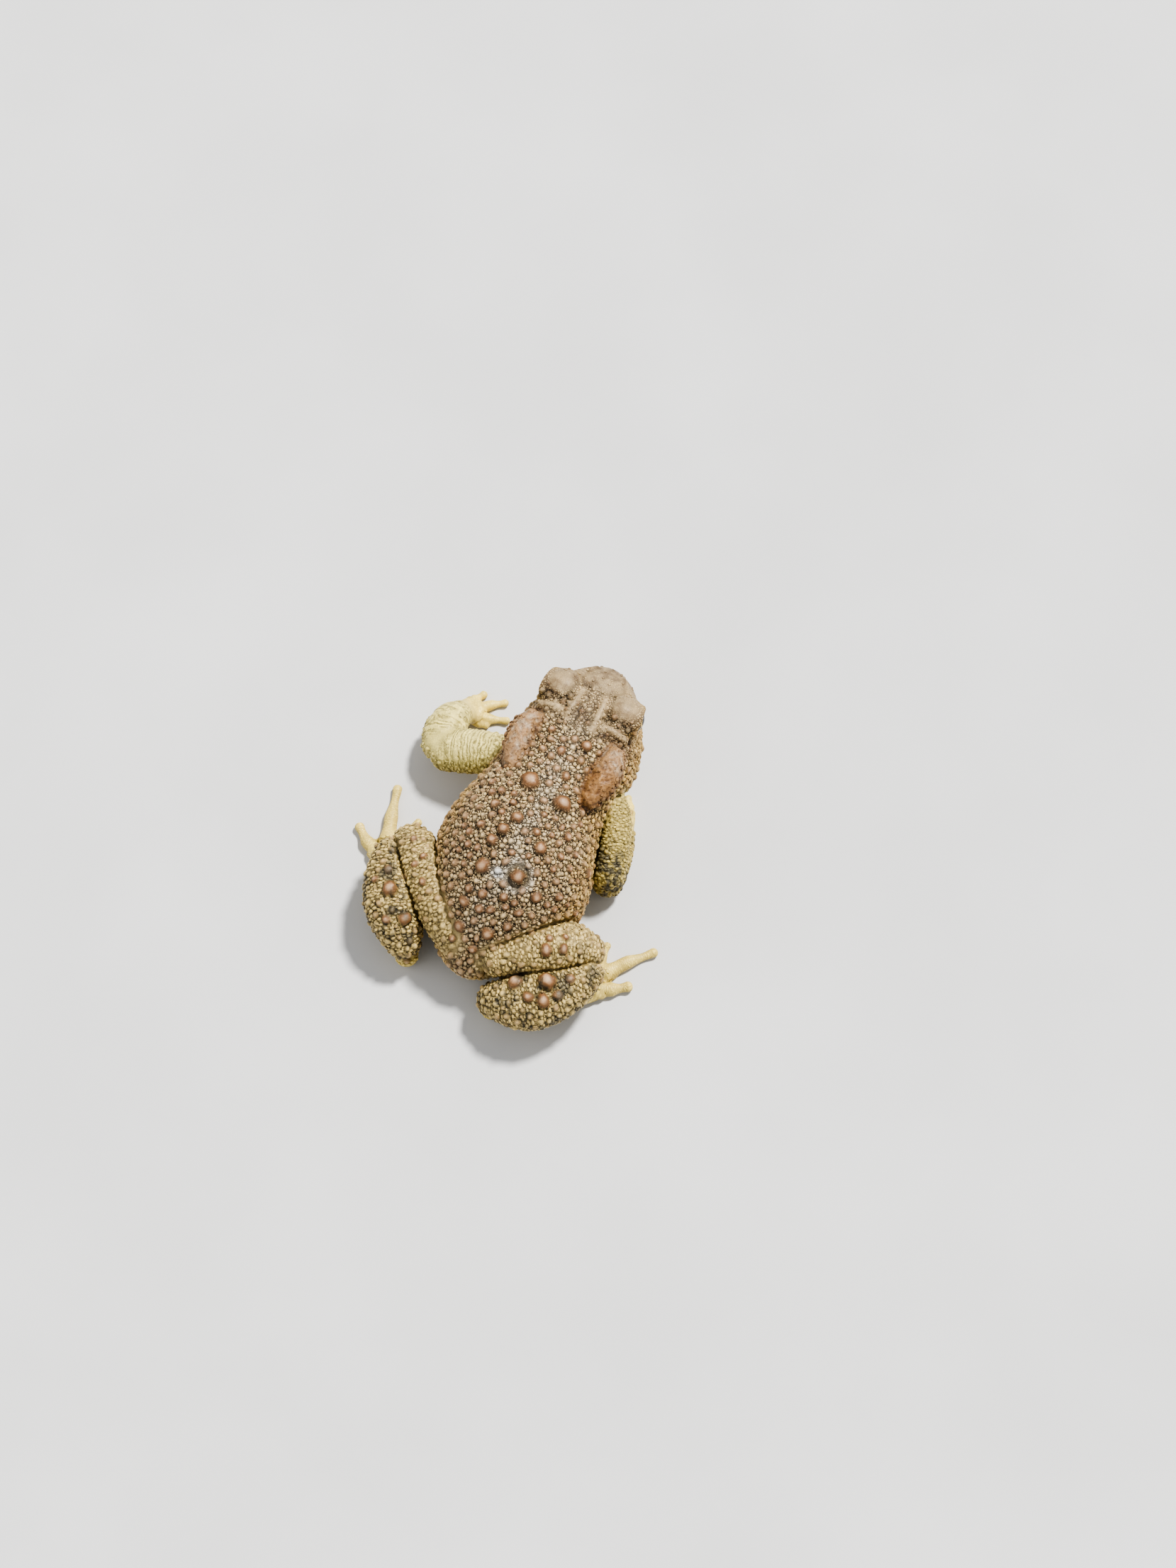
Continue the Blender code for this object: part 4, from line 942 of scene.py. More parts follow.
# painted shade: darker in dents, in the folds between limbs and body, as a painted shadow beside each crest,
# and a little darker on the snout to tone down the light it faces
shade = (1.0 - 0.5 * dent) * (1.0 - 0.8 * fold) * (1.0 - 0.55 * crest_side) * (1.0 - 0.32 * snout)
ground *= shade[:, None]
crown *= (0.4 + 0.6 * shade)[:, None]
print("mean ground and crown:", ground.mean(0).round(3), crown.mean(0).round(3))

# %% [markdown]
# ## Finishing the skin's mesh
# The sculpted points go back into the mesh with their colours as attributes. Decimate then takes away the
# triangles that flat places don't need, so that the warts keep theirs. Last, the skin is moved from the
# toad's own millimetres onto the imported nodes.

# %% Write the skin
def write_attribute(mesh, name, kind, values):
    if name in mesh.attributes:
        mesh.attributes.remove(mesh.attributes[name])
    layer = mesh.attributes.new(name, kind, "POINT")
    if kind == "FLOAT":
        layer.data.foreach_set("value", np.ascontiguousarray(values, dtype=np.float32))
    elif kind == "FLOAT_VECTOR":
        layer.data.foreach_set("vector", np.ascontiguousarray(values, dtype=np.float32).ravel())
    else:
        four = np.ones((len(values), 4), dtype=np.float32)
        four[:, :3] = values
        layer.data.foreach_set("color", four.ravel())


plain = np.clip(1.25 * wart_shape + 0.9 * masks["digit"] + masks["gland"] + 0.60 * snout, 0.0, 1.0)
plain = np.clip(plain + 0.20 * masks["head"] + masks["dark"], 0.0, 1.0)
plain = np.maximum(plain, np.maximum(np.maximum(0.9 * lid_top, crest_top), 1.0 - sure))
# painted shade and highlight: rise sets how much crown colour shows over the dark ground. It follows each
# wart's height, so the foot is dark and the top light, it falls in dents, and it is raised along the crests'
# tops
rise = np.where(wart_shape > 0.02, wart_shape, 0.75 - 0.5 * dent)
rise += crest_top * (0.66 + 0.3 * lumps - rise) - 0.12 * lid_top
rise += 0.6 * on_gland * (1.0 - crest_top) * (lumps + 0.6 * crumple)
rise = np.clip(rise, 0.0, 1.0)
turn = np.arctan2(spoke[:, 2], np.einsum("ij,ij->i", spoke, np.cross(heading, (0.0, 0.0, 1.0))))
around = turn * np.linalg.norm(spoke, axis=1)
on_limb = 1.0 - share["trunk"]
grain = np.where((on_limb > 0.5)[:, None], np.stack((along * 1.15, around * 0.55, on_limb * 0.0), 1), points)
ringed = 0.8 * left_arm + 0.5 * (arms - left_arm) + 0.40 * share["thigh"] + 0.2 * share["shank"]
ringed *= sure
finish = np.stack((ringed * (1.0 - wart_shape), 0.85 * masks["digit"], masks["gland"]), 1)
write_points(skin.data, points_out)
write_attribute(skin.data, "finish", "FLOAT_VECTOR", finish)
write_attribute(skin.data, "ground", "FLOAT_COLOR", ground)
write_attribute(skin.data, "crown", "FLOAT_COLOR", crown)
write_attribute(skin.data, "plain", "FLOAT", plain)
write_attribute(skin.data, "rise", "FLOAT", rise)
write_attribute(skin.data, "grain", "FLOAT_VECTOR", grain)
thinner = skin.modifiers.new("Thin", "DECIMATE")
thinner.ratio = min(1.0, SKIN_TRIANGLES / (2.0 * len(skin.data.polygons)))
applied(skin)
thinned = read_points(skin.data)
thinned[:, 2] = np.maximum(thinned[:, 2], 0.0)
write_points(skin.data, thinned)
skin.data.polygons.foreach_set("use_smooth", [True] * len(skin.data.polygons))
print("skin:", len(skin.data.vertices), "points,", len(skin.data.polygons), "faces")

# %% [markdown]
# ## Granules
# Between the warts a toad is paved with granules about a millimetre across, with dark creases between them.
# They are too small for the skin's own mesh, so each is a low dome of a few faces, set on the skin with its
# foot under it. The places come from a seeded draw over the skin's faces, large ones first, each keeping
# clear of those before it, so that they pack as pebbles do.

# %% Draw the granules' places
def face_corners(mesh):
    mesh.calc_loop_triangles()
    corners = np.empty(len(mesh.loop_triangles) * 3, dtype=np.int64)
    mesh.loop_triangles.foreach_get("vertices", corners)
    return corners.reshape(-1, 3)


def read_attribute(mesh, name):
    """The values of a number or colour attribute, a row for each point."""
    layer = mesh.attributes[name]
    field, width = {"FLOAT": ("value", 1), "FLOAT_COLOR": ("color", 4)}[layer.data_type]
    values = np.empty(len(mesh.vertices) * width)
    layer.data.foreach_get(field, values)
    return values.reshape(-1, width)


skin_points = read_points(skin.data)
skin_normals = read_normals(skin.data)
corners = face_corners(skin.data)
skin_share, skin_heading = find_regions(skin_points)[:2]
skin_ground = read_attribute(skin.data, "ground")[:, :3]
skin_crown = read_attribute(skin.data, "crown")[:, :3]
skin_plain = read_attribute(skin.data, "plain")[:, 0]
a, b, c = (skin_points[corners[:, k]] for k in range(3))
areas = np.linalg.norm(np.cross(b - a, c - a), axis=1) / 2
print("skin area, mm2:", round(float(areas.sum())))

# %% Pack the granules
GRANULE_TRIES = 150000


def allowed_sizes(points, normals, share):
    """Smallest and largest radius of a granule at each point, how bare of granules the skin is there, and the
    head's share.
    """
    y, z = points[:, 1], points[:, 2]
    head = share["trunk"] * step_up(y, -15.0, -18.0)
    limb = 1.0 - share["trunk"]
    flank = share["trunk"] * step_up(normals[:, 2], 0.75, 0.35) * (1.0 - head)
    small = 0.30 + 0.08 * flank + 0.06 * limb
    large = 0.66 + 0.14 * flank - 0.04 * limb - 0.20 * head
    bare = np.maximum(share["hand"], share["foot"] * step_up(z, 4.5, 3.0))
    bare = np.maximum(bare, step_up(normals[:, 2], -0.25, -0.5))
    bare = np.maximum(bare, step_up(z, 1.6, 0.8))
    return small, large, bare, head


face_weight = areas * (skin_normals[corners[:, 0], 2] > -0.5)
picked = draw.choice(len(corners), size=GRANULE_TRIES, p=face_weight / face_weight.sum())
u = np.sqrt(draw.random(GRANULE_TRIES))
v = draw.random(GRANULE_TRIES)
weights = np.stack((1.0 - u, u * (1.0 - v), u * v), 1)[:, :, None]
seat = (skin_points[corners[picked]] * weights).sum(1)
seat_normal = (skin_normals[corners[picked]] * weights).sum(1)
seat_normal /= np.linalg.norm(seat_normal, axis=1)[:, None]
seat_point = corners[picked, 0]
seat_share = {name: values[seat_point] for name, values in skin_share.items()}
small, large, bare, head = allowed_sizes(seat, seat_normal, seat_share)
size = small + (large - small) * draw.random(GRANULE_TRIES) ** 2.2
over_wart = np.zeros(GRANULE_TRIES, dtype=bool)
seat_tree = points_tree(seat.tolist())
for place, radius, _ in warts:
    for _, i, distance in seat_tree.find_range(Vector(place), radius + 0.9):
        over_wart[i] |= distance < radius * 1.0 + 0.6 * size[i]
for side in (1, -1):
    for place, reach in ((EARDRUM, 2.1), (LID_OPENING_CENTRE, 6.3), (NOSTRIL_CENTRE, 1.6)):
        over_wart |= np.linalg.norm(seat - np.array((place[0] * side, *place[1:])), axis=1) < reach
# the left arm and the middle of the back carry fewer granules, and the ring round the wart none
thinned_out = (seat_share["forearm"] + seat_share["upper_arm"] > 0.5) & (seat[:, 0] > 18.0)
thinned_out &= (seat_normal[:, 2] > 0.45) | (seat[:, 1] < -9.0) | (draw.random(GRANULE_TRIES) < 0.5)
mid_back = (seat_share["trunk"] > 0.5) & (seat_normal[:, 2] > 0.75) & (seat[:, 1] > -16.0)
thinned_out |= mid_back & (draw.random(GRANULE_TRIES) < 0.6)
on_ring = (np.abs(ring_of(seat[:, 0], seat[:, 1]) - RING_RADIUS) < 0.75) & (seat[:, 2] > 22.0)
keep = (bare < 0.5) & (skin_plain[seat_point] < 0.9) & ~over_wart & ~thinned_out & ~on_ring
keep &= skin_share["fold"][seat_point] < 0.35
# the head is smoother: granules gather behind the lids, by the crests and on the cheeks
by_lid = np.minimum(*(from_oval(seat, LID_TOP, (4.0, 3.6, 4.6), side) for side in (1, -1)))
on_snout = np.maximum(0.98 * step_up(seat[:, 1], -23.0, -31.0), 0.75 * step_up(seat[:, 2], 23.0, 26.0))
by_mouth = bell(seat[:, 2] - mouth_height(seat[:, 1]) - 0.8, 1.3)
below_mouth = step_up(seat[:, 2], mouth_height(seat[:, 1]), mouth_height(seat[:, 1]) - 1.0)
sparse = 0.35 + 0.65 * np.maximum(np.maximum(on_snout, by_mouth), below_mouth)
sparse = np.maximum(sparse, step_up(by_lid, 1.45, 0.90))
keep &= ~((head > 0.5) & (draw.random(GRANULE_TRIES) < sparse))
order = [i for i in np.argsort(-size) if keep[i]]
print(len(order), "places tried")

# %% Keep those with room
kept = pack(order, seat.tolist(), size.tolist(), 0.88, 1.6)
print(len(kept), "granules")

# %% [markdown]
# ## The granules' mesh
# One low dome is made by operators: a short cone of two bands with its tip pulled up. Its copies are one
# array sum: each is stretched, turned to the skin's normal and moved to its seat, and all are written as
# one mesh. The UV map holds each dome as a small patch at its root's place on an unwrap of the skin.

# %% One dome
def dome(segments=8):
    """A closed low dome of radius 1 and height 1, its foot a little under the skin."""
    bm = bmesh.new()
    bmesh.ops.create_circle(bm, cap_ends=True, segments=segments, radius=1.0)
    bmesh.ops.translate(bm, vec=(0.0, 0.0, -0.5), verts=bm.verts)
    top = max(bm.faces, key=lambda face: face.calc_area())
    bmesh.ops.reverse_faces(bm, faces=[top])
    edges = list(bm.edges)
    for radius, height in ((1.0, 0.10), (0.70, 0.72)):
        pushed = bmesh.ops.extrude_edge_only(bm, edges=edges)["geom"]
        edges = [part for part in pushed if isinstance(part, bmesh.types.BMEdge)]
        for vert in {vert for edge in edges for vert in edge.verts}:
            flat = Vector((vert.co.x, vert.co.y)).normalized() * radius
            vert.co = (flat.x, flat.y, height)
    cap = bmesh.ops.contextual_create(bm, geom=edges)["faces"]
    middle = bmesh.ops.poke(bm, faces=cap)["verts"]
    for vert in middle:
        vert.co.z = 1.0
    bmesh.ops.recalc_face_normals(bm, faces=bm.faces)
    return bm


shape = dome()
shape.verts.ensure_lookup_table()
dome_points = np.array([vert.co[:] for vert in shape.verts])
dome_faces = [[vert.index for vert in face.verts] for face in shape.faces]
shape.free()
print("a dome has", len(dome_points), "points and", len(dome_faces), "faces")

# %% Unwrap of the skin for the granules' roots
CHART_SCALE = 0.0052


def unwrap(points, normals, share):
    """A place in the unit square for every point: one chart for each side of the trunk and of the limbs."""
    x, y, z = points.T
    side = np.argmax(np.abs(normals), axis=1)
    out = np.take_along_axis(normals, side[:, None], 1)[:, 0] > 0
    limb = share["trunk"] < 0.5
    left = x > 0
    charts = (
        (~limb & (side == 2) & out, x + 25, y + 48, 0.01, 0.01),
        (~limb & (side == 2) & ~out, x + 25, y + 48, 0.28, 0.01),
        (~limb & (side == 0) & out, y + 48, z, 0.01, 0.53),
        (~limb & (side == 0) & ~out, y + 48, z, 0.01, 0.72),
        (~limb & (side == 1), x + 25 + 50 * out, z, 0.01, 0.91),
        (limb & (side == 2) & left, x - 10, y + 30, 0.55, 0.01),
        (limb & (side == 2) & ~left, x + 46, y + 30, 0.77, 0.01),
        (limb & (side == 0), y + 30, z + 24 * out, 0.55, 0.50),
        (limb & (side == 1), x + 46, z + 24 * out, 0.55, 0.76),
    )
    place = np.zeros((len(points), 2))
    for chosen, across, upwards, u0, v0 in charts:
        place[chosen, 0] = u0 + CHART_SCALE * across[chosen]
        place[chosen, 1] = v0 + CHART_SCALE * upwards[chosen]
    return place % 1.0


def roots_of(chosen):
    return unwrap(seat[chosen], seat_normal[chosen], {"trunk": seat_share["trunk"][chosen]})


roots = roots_of(kept)
print("roots reach", roots.min(0).round(3), roots.max(0).round(3))

# %% Lay the granules
def lay_granules(name, chosen):
    """One mesh of domes, one for each chosen place."""
    normal = seat_normal[chosen]
    index = seat_point[chosen]
    limb = 1.0 - skin_share["trunk"][index]
    stretch = 1.0 + limb * (0.45 + 0.35 * draw.random(len(chosen)))
    stretch += 0.25 * draw.random(len(chosen)) * (1.0 - limb)
    long_way = np.cross(normal, skin_heading[index])
    turn = draw.random(len(chosen)) * math.pi
    loose = np.stack((np.cos(turn), np.sin(turn), 0 * turn), 1)
    long_way = np.where((limb > 0.5)[:, None], long_way, loose)
    long_way -= normal * np.einsum("ij,ij->i", long_way, normal)[:, None]
    long_way /= np.linalg.norm(long_way, axis=1)[:, None] + 1e-9
    short_way = np.cross(normal, long_way)
    radius = size[chosen]
    height = radius * (0.38 + 0.30 * draw.random(len(chosen))) * (1.0 - 0.25 * limb)
    scaled = [
        long_way * (radius * np.sqrt(stretch))[:, None],
        short_way * (radius / np.sqrt(stretch))[:, None],
        normal * height[:, None],
    ]
    placed = seat[chosen][:, None, :] + sum(
        dome_points[None, :, k, None] * scaled[k][:, None, :] for k in range(3)
    )
    per = len(dome_points)
    faces = []
    for n in range(len(chosen)):
        faces += [[n * per + corner for corner in face] for face in dome_faces]
    placed[:, :, 2] = np.maximum(placed[:, :, 2], 0.02)
    mesh = bpy.data.meshes.new(name)
    mesh.from_pydata(((placed.reshape(-1, 3) + TO_CENTRE) * MM).tolist(), [], faces)
    mesh.polygons.foreach_set("use_smooth", [True] * len(mesh.polygons))
    piece = bpy.data.objects.new(name, mesh)
    bpy.context.scene.collection.objects.link(piece)
    # painted shade: each dome's colour runs from its crown down to a darkened ground colour at its foot, for
    # the shade in the creases between granules
    lift = np.clip(dome_points[:, 2] * 0.85 + 0.18, 0.0, 1.0)
    brightness = 0.84 + 0.28 * draw.random(len(chosen))
    hue = draw.random(len(chosen))[:, None]
    brown = np.array(COLOURS["wart"][1]) * 1.3
    on_back = (skin_share["trunk"][index] * step_up(seat[chosen][:, 1], -17.0, -13.0))[:, None]
    tops = skin_crown[index] + (hue > 0.8) * 0.45 * on_back * (brown - skin_crown[index])
    write_attribute(mesh, "ground", "FLOAT_COLOR", np.repeat(skin_ground[index] * 0.75, per, 0))
    write_attribute(mesh, "crown", "FLOAT_COLOR", np.repeat(tops * brightness[:, None], per, 0))
    write_attribute(mesh, "rise", "FLOAT", np.tile(lift, len(chosen)))
    write_attribute(mesh, "plain", "FLOAT", np.ones(per * len(chosen)))
    write_attribute(mesh, "grain", "FLOAT_VECTOR", placed.reshape(-1, 3))
    uv = mesh.uv_layers.new(name="OFBake")
    corner_points = np.empty(len(mesh.loops), dtype=np.int64)
    mesh.loops.foreach_get("vertex_index", corner_points)
    flat = roots_of(chosen)[corner_points // per] + dome_points[corner_points % per, :2] * 0.0015
    uv.data.foreach_set("uv", flat.astype(np.float32).ravel())
    return piece


MOST_DOMES = 4200       # in one piece, so that it stays under 200,000 triangles
granule_pieces = []
on_trunk = seat_share["trunk"][kept] > 0.5
for name, group in (("granules_body", kept[on_trunk]), ("granules_limbs", kept[~on_trunk])):
    for start in range(0, len(group), MOST_DOMES):
        piece = lay_granules(f"{name}_{start // MOST_DOMES + 1}", group[start:start + MOST_DOMES])
        granule_pieces.append(piece)
        print(piece.name, len(piece.data.polygons), "faces")

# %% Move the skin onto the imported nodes
skin.data.transform(Matrix.Scale(MM, 4) @ Matrix.Translation(TO_CENTRE))
write_attribute(skin.data, "ground", "FLOAT_COLOR", skin_ground * 0.9)
FLESH = [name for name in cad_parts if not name.startswith("eye")]
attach(skin, "root")
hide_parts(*FLESH)
for piece in granule_pieces:
    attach(piece, "root")
print("skin stands for", len(FLESH), "nodes")

# %% [markdown]
# ## Skin material
# One material serves the skin and the granules. A node group turns a place into the fine paving that lies
# between the domes: Voronoi cells with soft crowns and dark creases. The creases are both sunk by a bump and
# darkened in colour as painted shade. Where the mesh itself rises, the attribute rise takes over, so that
# low places show the dark ground as painted shade, and the rings round the arms are coloured the same way.
# The last touches are a slow change of tone, dark pores, and a faint moist gloss that is stronger on the
# crowns.

# %% The paving group
def new_group(name, inputs, outputs):
    group = bpy.data.node_groups.new(name, "ShaderNodeTree")
    for label, kind, value in inputs:
        socket = group.interface.new_socket(label, in_out="INPUT", socket_type=kind)
        if value is not None:
            socket.default_value = value
    for label, kind in outputs:
        group.interface.new_socket(label, in_out="OUTPUT", socket_type=kind)
    return group, group.nodes.new("NodeGroupInput"), group.nodes.new("NodeGroupOutput")


def add_math(tree, operation, first, second=None, third=None, clamp=False):
    node = tree.nodes.new("ShaderNodeMath")
    node.operation = operation
    node.use_clamp = clamp
    for slot, value in enumerate((first, second, third)):
        if value is None:
            continue
        if isinstance(value, (int, float)):
            node.inputs[slot].default_value = value
        else:
            tree.links.new(value, node.inputs[slot])
    return node.outputs[0]


def times(tree, first, second):
    return add_math(tree, "MULTIPLY", first, second)


def times_plus(tree, first, second, third):
    return add_math(tree, "MULTIPLY_ADD", first, second, third)


def add_ramp(tree, value, low, high):
    """0 at low, 1 at high, smooth between."""
    node = tree.nodes.new("ShaderNodeMapRange")
    node.interpolation_type = "SMOOTHSTEP"
    node.inputs["From Min"].default_value = low
    node.inputs["From Max"].default_value = high
    tree.links.new(value, node.inputs["Value"])
    return node.outputs["Result"]


def paving_group():
    group, inputs, outputs = new_group(
        "skin_paving",
        (
            ("Place", "NodeSocketVector", None),
            ("Cells", "NodeSocketFloat", 1.4),
            ("Waver", "NodeSocketFloat", 0.3),
        ),
        (("Height", "NodeSocketFloat"), ("Tone", "NodeSocketFloat")),
    )
    bend = group.nodes.new("ShaderNodeTexNoise")
    bend.inputs["Scale"].default_value = 0.9
    bend.inputs["Detail"].default_value = 2.0
    group.links.new(inputs.outputs["Place"], bend.inputs["Vector"])
    push = group.nodes.new("ShaderNodeVectorMath")
    push.operation = "MULTIPLY_ADD"
    group.links.new(bend.outputs["Color"], push.inputs[0])
    group.links.new(inputs.outputs["Waver"], push.inputs[1])
    group.links.new(inputs.outputs["Place"], push.inputs[2])
    cells = group.nodes.new("ShaderNodeTexVoronoi")
    cells.feature = "DISTANCE_TO_EDGE"
    group.links.new(push.outputs[0], cells.inputs["Vector"])
    group.links.new(inputs.outputs["Cells"], cells.inputs["Scale"])
    tone = group.nodes.new("ShaderNodeTexVoronoi")
    group.links.new(push.outputs[0], tone.inputs["Vector"])
    group.links.new(inputs.outputs["Cells"], tone.inputs["Scale"])
    group.links.new(add_ramp(group, cells.outputs["Distance"], 0.02, 0.30), outputs.inputs["Height"])
    split = group.nodes.new("ShaderNodeSeparateColor")
    group.links.new(tone.outputs["Color"], split.inputs[0])
    group.links.new(split.outputs[0], outputs.inputs["Tone"])
    return group


PAVING = paving_group()
print("group", PAVING.name)

# %% The skin's material
def add_attribute(tree, name, output):
    node = tree.nodes.new("ShaderNodeAttribute")
    node.attribute_name = name
    return node.outputs[output]


def add_mix(tree, factor, first, second, kind="RGBA", blend="MIX"):
    node = tree.nodes.new("ShaderNodeMix")
    node.data_type = kind
    if kind == "RGBA":
        node.blend_type = blend
    at = {"RGBA": (6, 7, 2), "FLOAT": (2, 3, 0)}[kind]
    for slot, value in ((0, factor), (at[0], first), (at[1], second)):
        if isinstance(value, (int, float, tuple)):
            node.inputs[slot].default_value = value
        else:
            tree.links.new(value, node.inputs[slot])
    return node.outputs[at[2]]


def add_noise(tree, place, scale, detail=3.0):
    node = tree.nodes.new("ShaderNodeTexNoise")
    node.inputs["Scale"].default_value = scale
    node.inputs["Detail"].default_value = detail
    tree.links.new(place, node.inputs["Vector"])
    return node.outputs["Fac"]


def add_paving(tree, place, cells, waver):
    node = tree.nodes.new("ShaderNodeGroup")
    node.node_tree = PAVING
    node.inputs["Cells"].default_value = cells
    node.inputs["Waver"].default_value = waver
    tree.links.new(place, node.inputs["Place"])
    return node


RING_GAP = 1.1      # between the rings round an arm, in the skin's own length along the limb
PORE = (0.05, 0.03, 0.018, 1.0)
PIT = (0.07, 0.032, 0.012, 1.0)


def skin_material():
    made = bpy.data.materials.new("toad_skin")
    made.use_nodes = True
    tree = made.node_tree
    shader = tree.nodes["Principled BSDF"]
    coordinates = tree.nodes.new("ShaderNodeTexCoord")
    to_mm = tree.nodes.new("ShaderNodeMapping")
    to_mm.inputs["Scale"].default_value = (1000.0, 1000.0, 1000.0)
    tree.links.new(coordinates.outputs["Object"], to_mm.inputs["Vector"])
    place = to_mm.outputs["Vector"]
    grain = add_attribute(tree, "grain", "Vector")
    plain = add_attribute(tree, "plain", "Fac")
    rise = add_attribute(tree, "rise", "Fac")
    paving = add_paving(tree, grain, 1.5, 1.1)
    fine = add_paving(tree, place, 3.6, 0.3)
    finish = tree.nodes.new("ShaderNodeSeparateXYZ")
    tree.links.new(add_attribute(tree, "finish", "Vector"), finish.inputs[0])
    rings, smooth = finish.outputs[0], finish.outputs[1]
    run = tree.nodes.new("ShaderNodeSeparateXYZ")
    tree.links.new(grain, run.inputs[0])
    bent = times_plus(tree, add_noise(tree, place, 0.30), 2.6, run.outputs[0])
    wave = add_math(tree, "ABSOLUTE", add_math(tree, "SINE", times(tree, bent, math.pi / RING_GAP)))
    breaks = add_ramp(tree, add_noise(tree, place, 0.9), 0.42, 0.66)
    wave = add_math(tree, "ADD", wave, times(tree, breaks, 0.45), clamp=True)
    # painted shade: where level is low the dark ground colour shows, in the paving's creases, the rings'
    # grooves and the low places set by rise
    level = add_mix(tree, plain, paving.outputs["Height"], rise, "FLOAT")
    level = add_mix(tree, rings, level, times_plus(tree, wave, 0.75, 0.25), "FLOAT")
    ground_colour, crown_colour = (add_attribute(tree, name, "Color") for name in ("ground", "crown"))
    colour = add_mix(tree, level, ground_colour, crown_colour)
    slow = add_ramp(tree, add_noise(tree, place, 0.35), 0.25, 0.75)
    quick = add_ramp(tree, add_noise(tree, place, 2.6, 4.0), 0.2, 0.8)
    tone = times_plus(tree, slow, 0.28, 0.78)
    tone = times_plus(tree, quick, 0.22, tone)
    speck = times_plus(tree, fine.outputs["Tone"], 0.12, tone)
    grey = tree.nodes.new("ShaderNodeCombineColor")
    for slot in range(3):
        tree.links.new(speck, grey.inputs[slot])
    colour = add_mix(tree, 1.0, colour, grey.outputs[0], blend="MULTIPLY")
    pores = add_ramp(tree, add_noise(tree, place, 5.5, 2.0), 0.30, 0.36)
    colour = add_mix(tree, times_plus(tree, pores, -0.55, 0.55), colour, PORE)
    pits = add_ramp(tree, add_noise(tree, place, 1.6, 1.0), 0.42, 0.34)
    pits = times(tree, pits, finish.outputs[2])
    colour = add_mix(tree, times(tree, pits, 0.42), colour, PIT)
    tree.links.new(colour, shader.inputs["Base Color"])
    tree.links.new(times_plus(tree, level, -0.24, 0.64), shader.inputs["Roughness"])
    height = times(tree, paving.outputs["Height"], add_math(tree, "SUBTRACT", 1.0, plain))
    height = add_mix(tree, rings, height, wave, "FLOAT")
    fine_height = times_plus(tree, fine.outputs["Height"], 0.16, times(tree, quick, 0.10))
    height = times_plus(tree, fine_height, add_math(tree, "SUBTRACT", 1.0, smooth), height)
    height = times_plus(tree, pits, -0.35, height)
    bump = tree.nodes.new("ShaderNodeBump")
    bump.inputs["Strength"].default_value = 0.8
    bump.inputs["Distance"].default_value = 0.00028
    tree.links.new(height, bump.inputs["Height"])
    tree.links.new(bump.outputs["Normal"], shader.inputs["Normal"])
    shader.inputs["Specular IOR Level"].default_value = 0.42
    shader.inputs["Coat Weight"].default_value = 0.06
    shader.inputs["Coat Roughness"].default_value = 0.30
    return made


SKIN = skin_material()
for piece in (skin, *granule_pieces):
    piece.data.materials.clear()
    piece.data.materials.append(SKIN)
print("material", SKIN.name)

# %% [markdown]
# ## Eyes
# A toad's eye is a ball of bronze and gold flecks with a black oval pupil lying level. Each ball is a
# sphere with a slight bulge of cornea over the iris. Two numbers on each point, the place across and up
# the iris, let one material paint both eyes, and a clear coat makes them wet.

# %% Eyes
GAZE = Vector((0.90, -0.36, 0.20)).normalized()


def make_eye(name, side):
    bm = bmesh.new()
    bmesh.ops.create_uvsphere(bm, u_segments=64, v_segments=48, radius=EYE_RADIUS)
    gaze = Vector((GAZE.x * side, GAZE.y, GAZE.z))
    level = gaze.cross(UP).normalized()
    raised = level.cross(gaze).normalized()
    across = []
    for vert in bm.verts:
        facing = vert.co.normalized().dot(gaze)
        across.append((vert.co.dot(level), vert.co.dot(raised), facing))
        vert.co *= 1.0 + 0.045 * float(step_up(facing, 0.72, 1.0))
    bmesh.ops.translate(bm, vec=(EYE_CENTRE[0] * side, *EYE_CENTRE[1:]), verts=bm.verts)
    bmesh.ops.translate(bm, vec=TO_CENTRE, verts=bm.verts)
    bmesh.ops.scale(bm, vec=(MM, MM, MM), verts=bm.verts)
    for face in bm.faces:
        face.smooth = True
    eye = to_object(name, bm)
    write_attribute(eye.data, "iris", "FLOAT_VECTOR", np.array(across))
    return eye


BRONZE, GOLD = (0.030, 0.015, 0.006, 1.0), (0.62, 0.38, 0.09, 1.0)
PUPIL_RIM = (0.80, 0.55, 0.16, 1.0)
EYE_RIM, PUPIL = (0.012, 0.008, 0.005, 1.0), (0.003, 0.003, 0.003, 1.0)
PUPIL_WIDTH, PUPIL_HEIGHT = 1.75, 1.05      # half its size each way, in millimetres


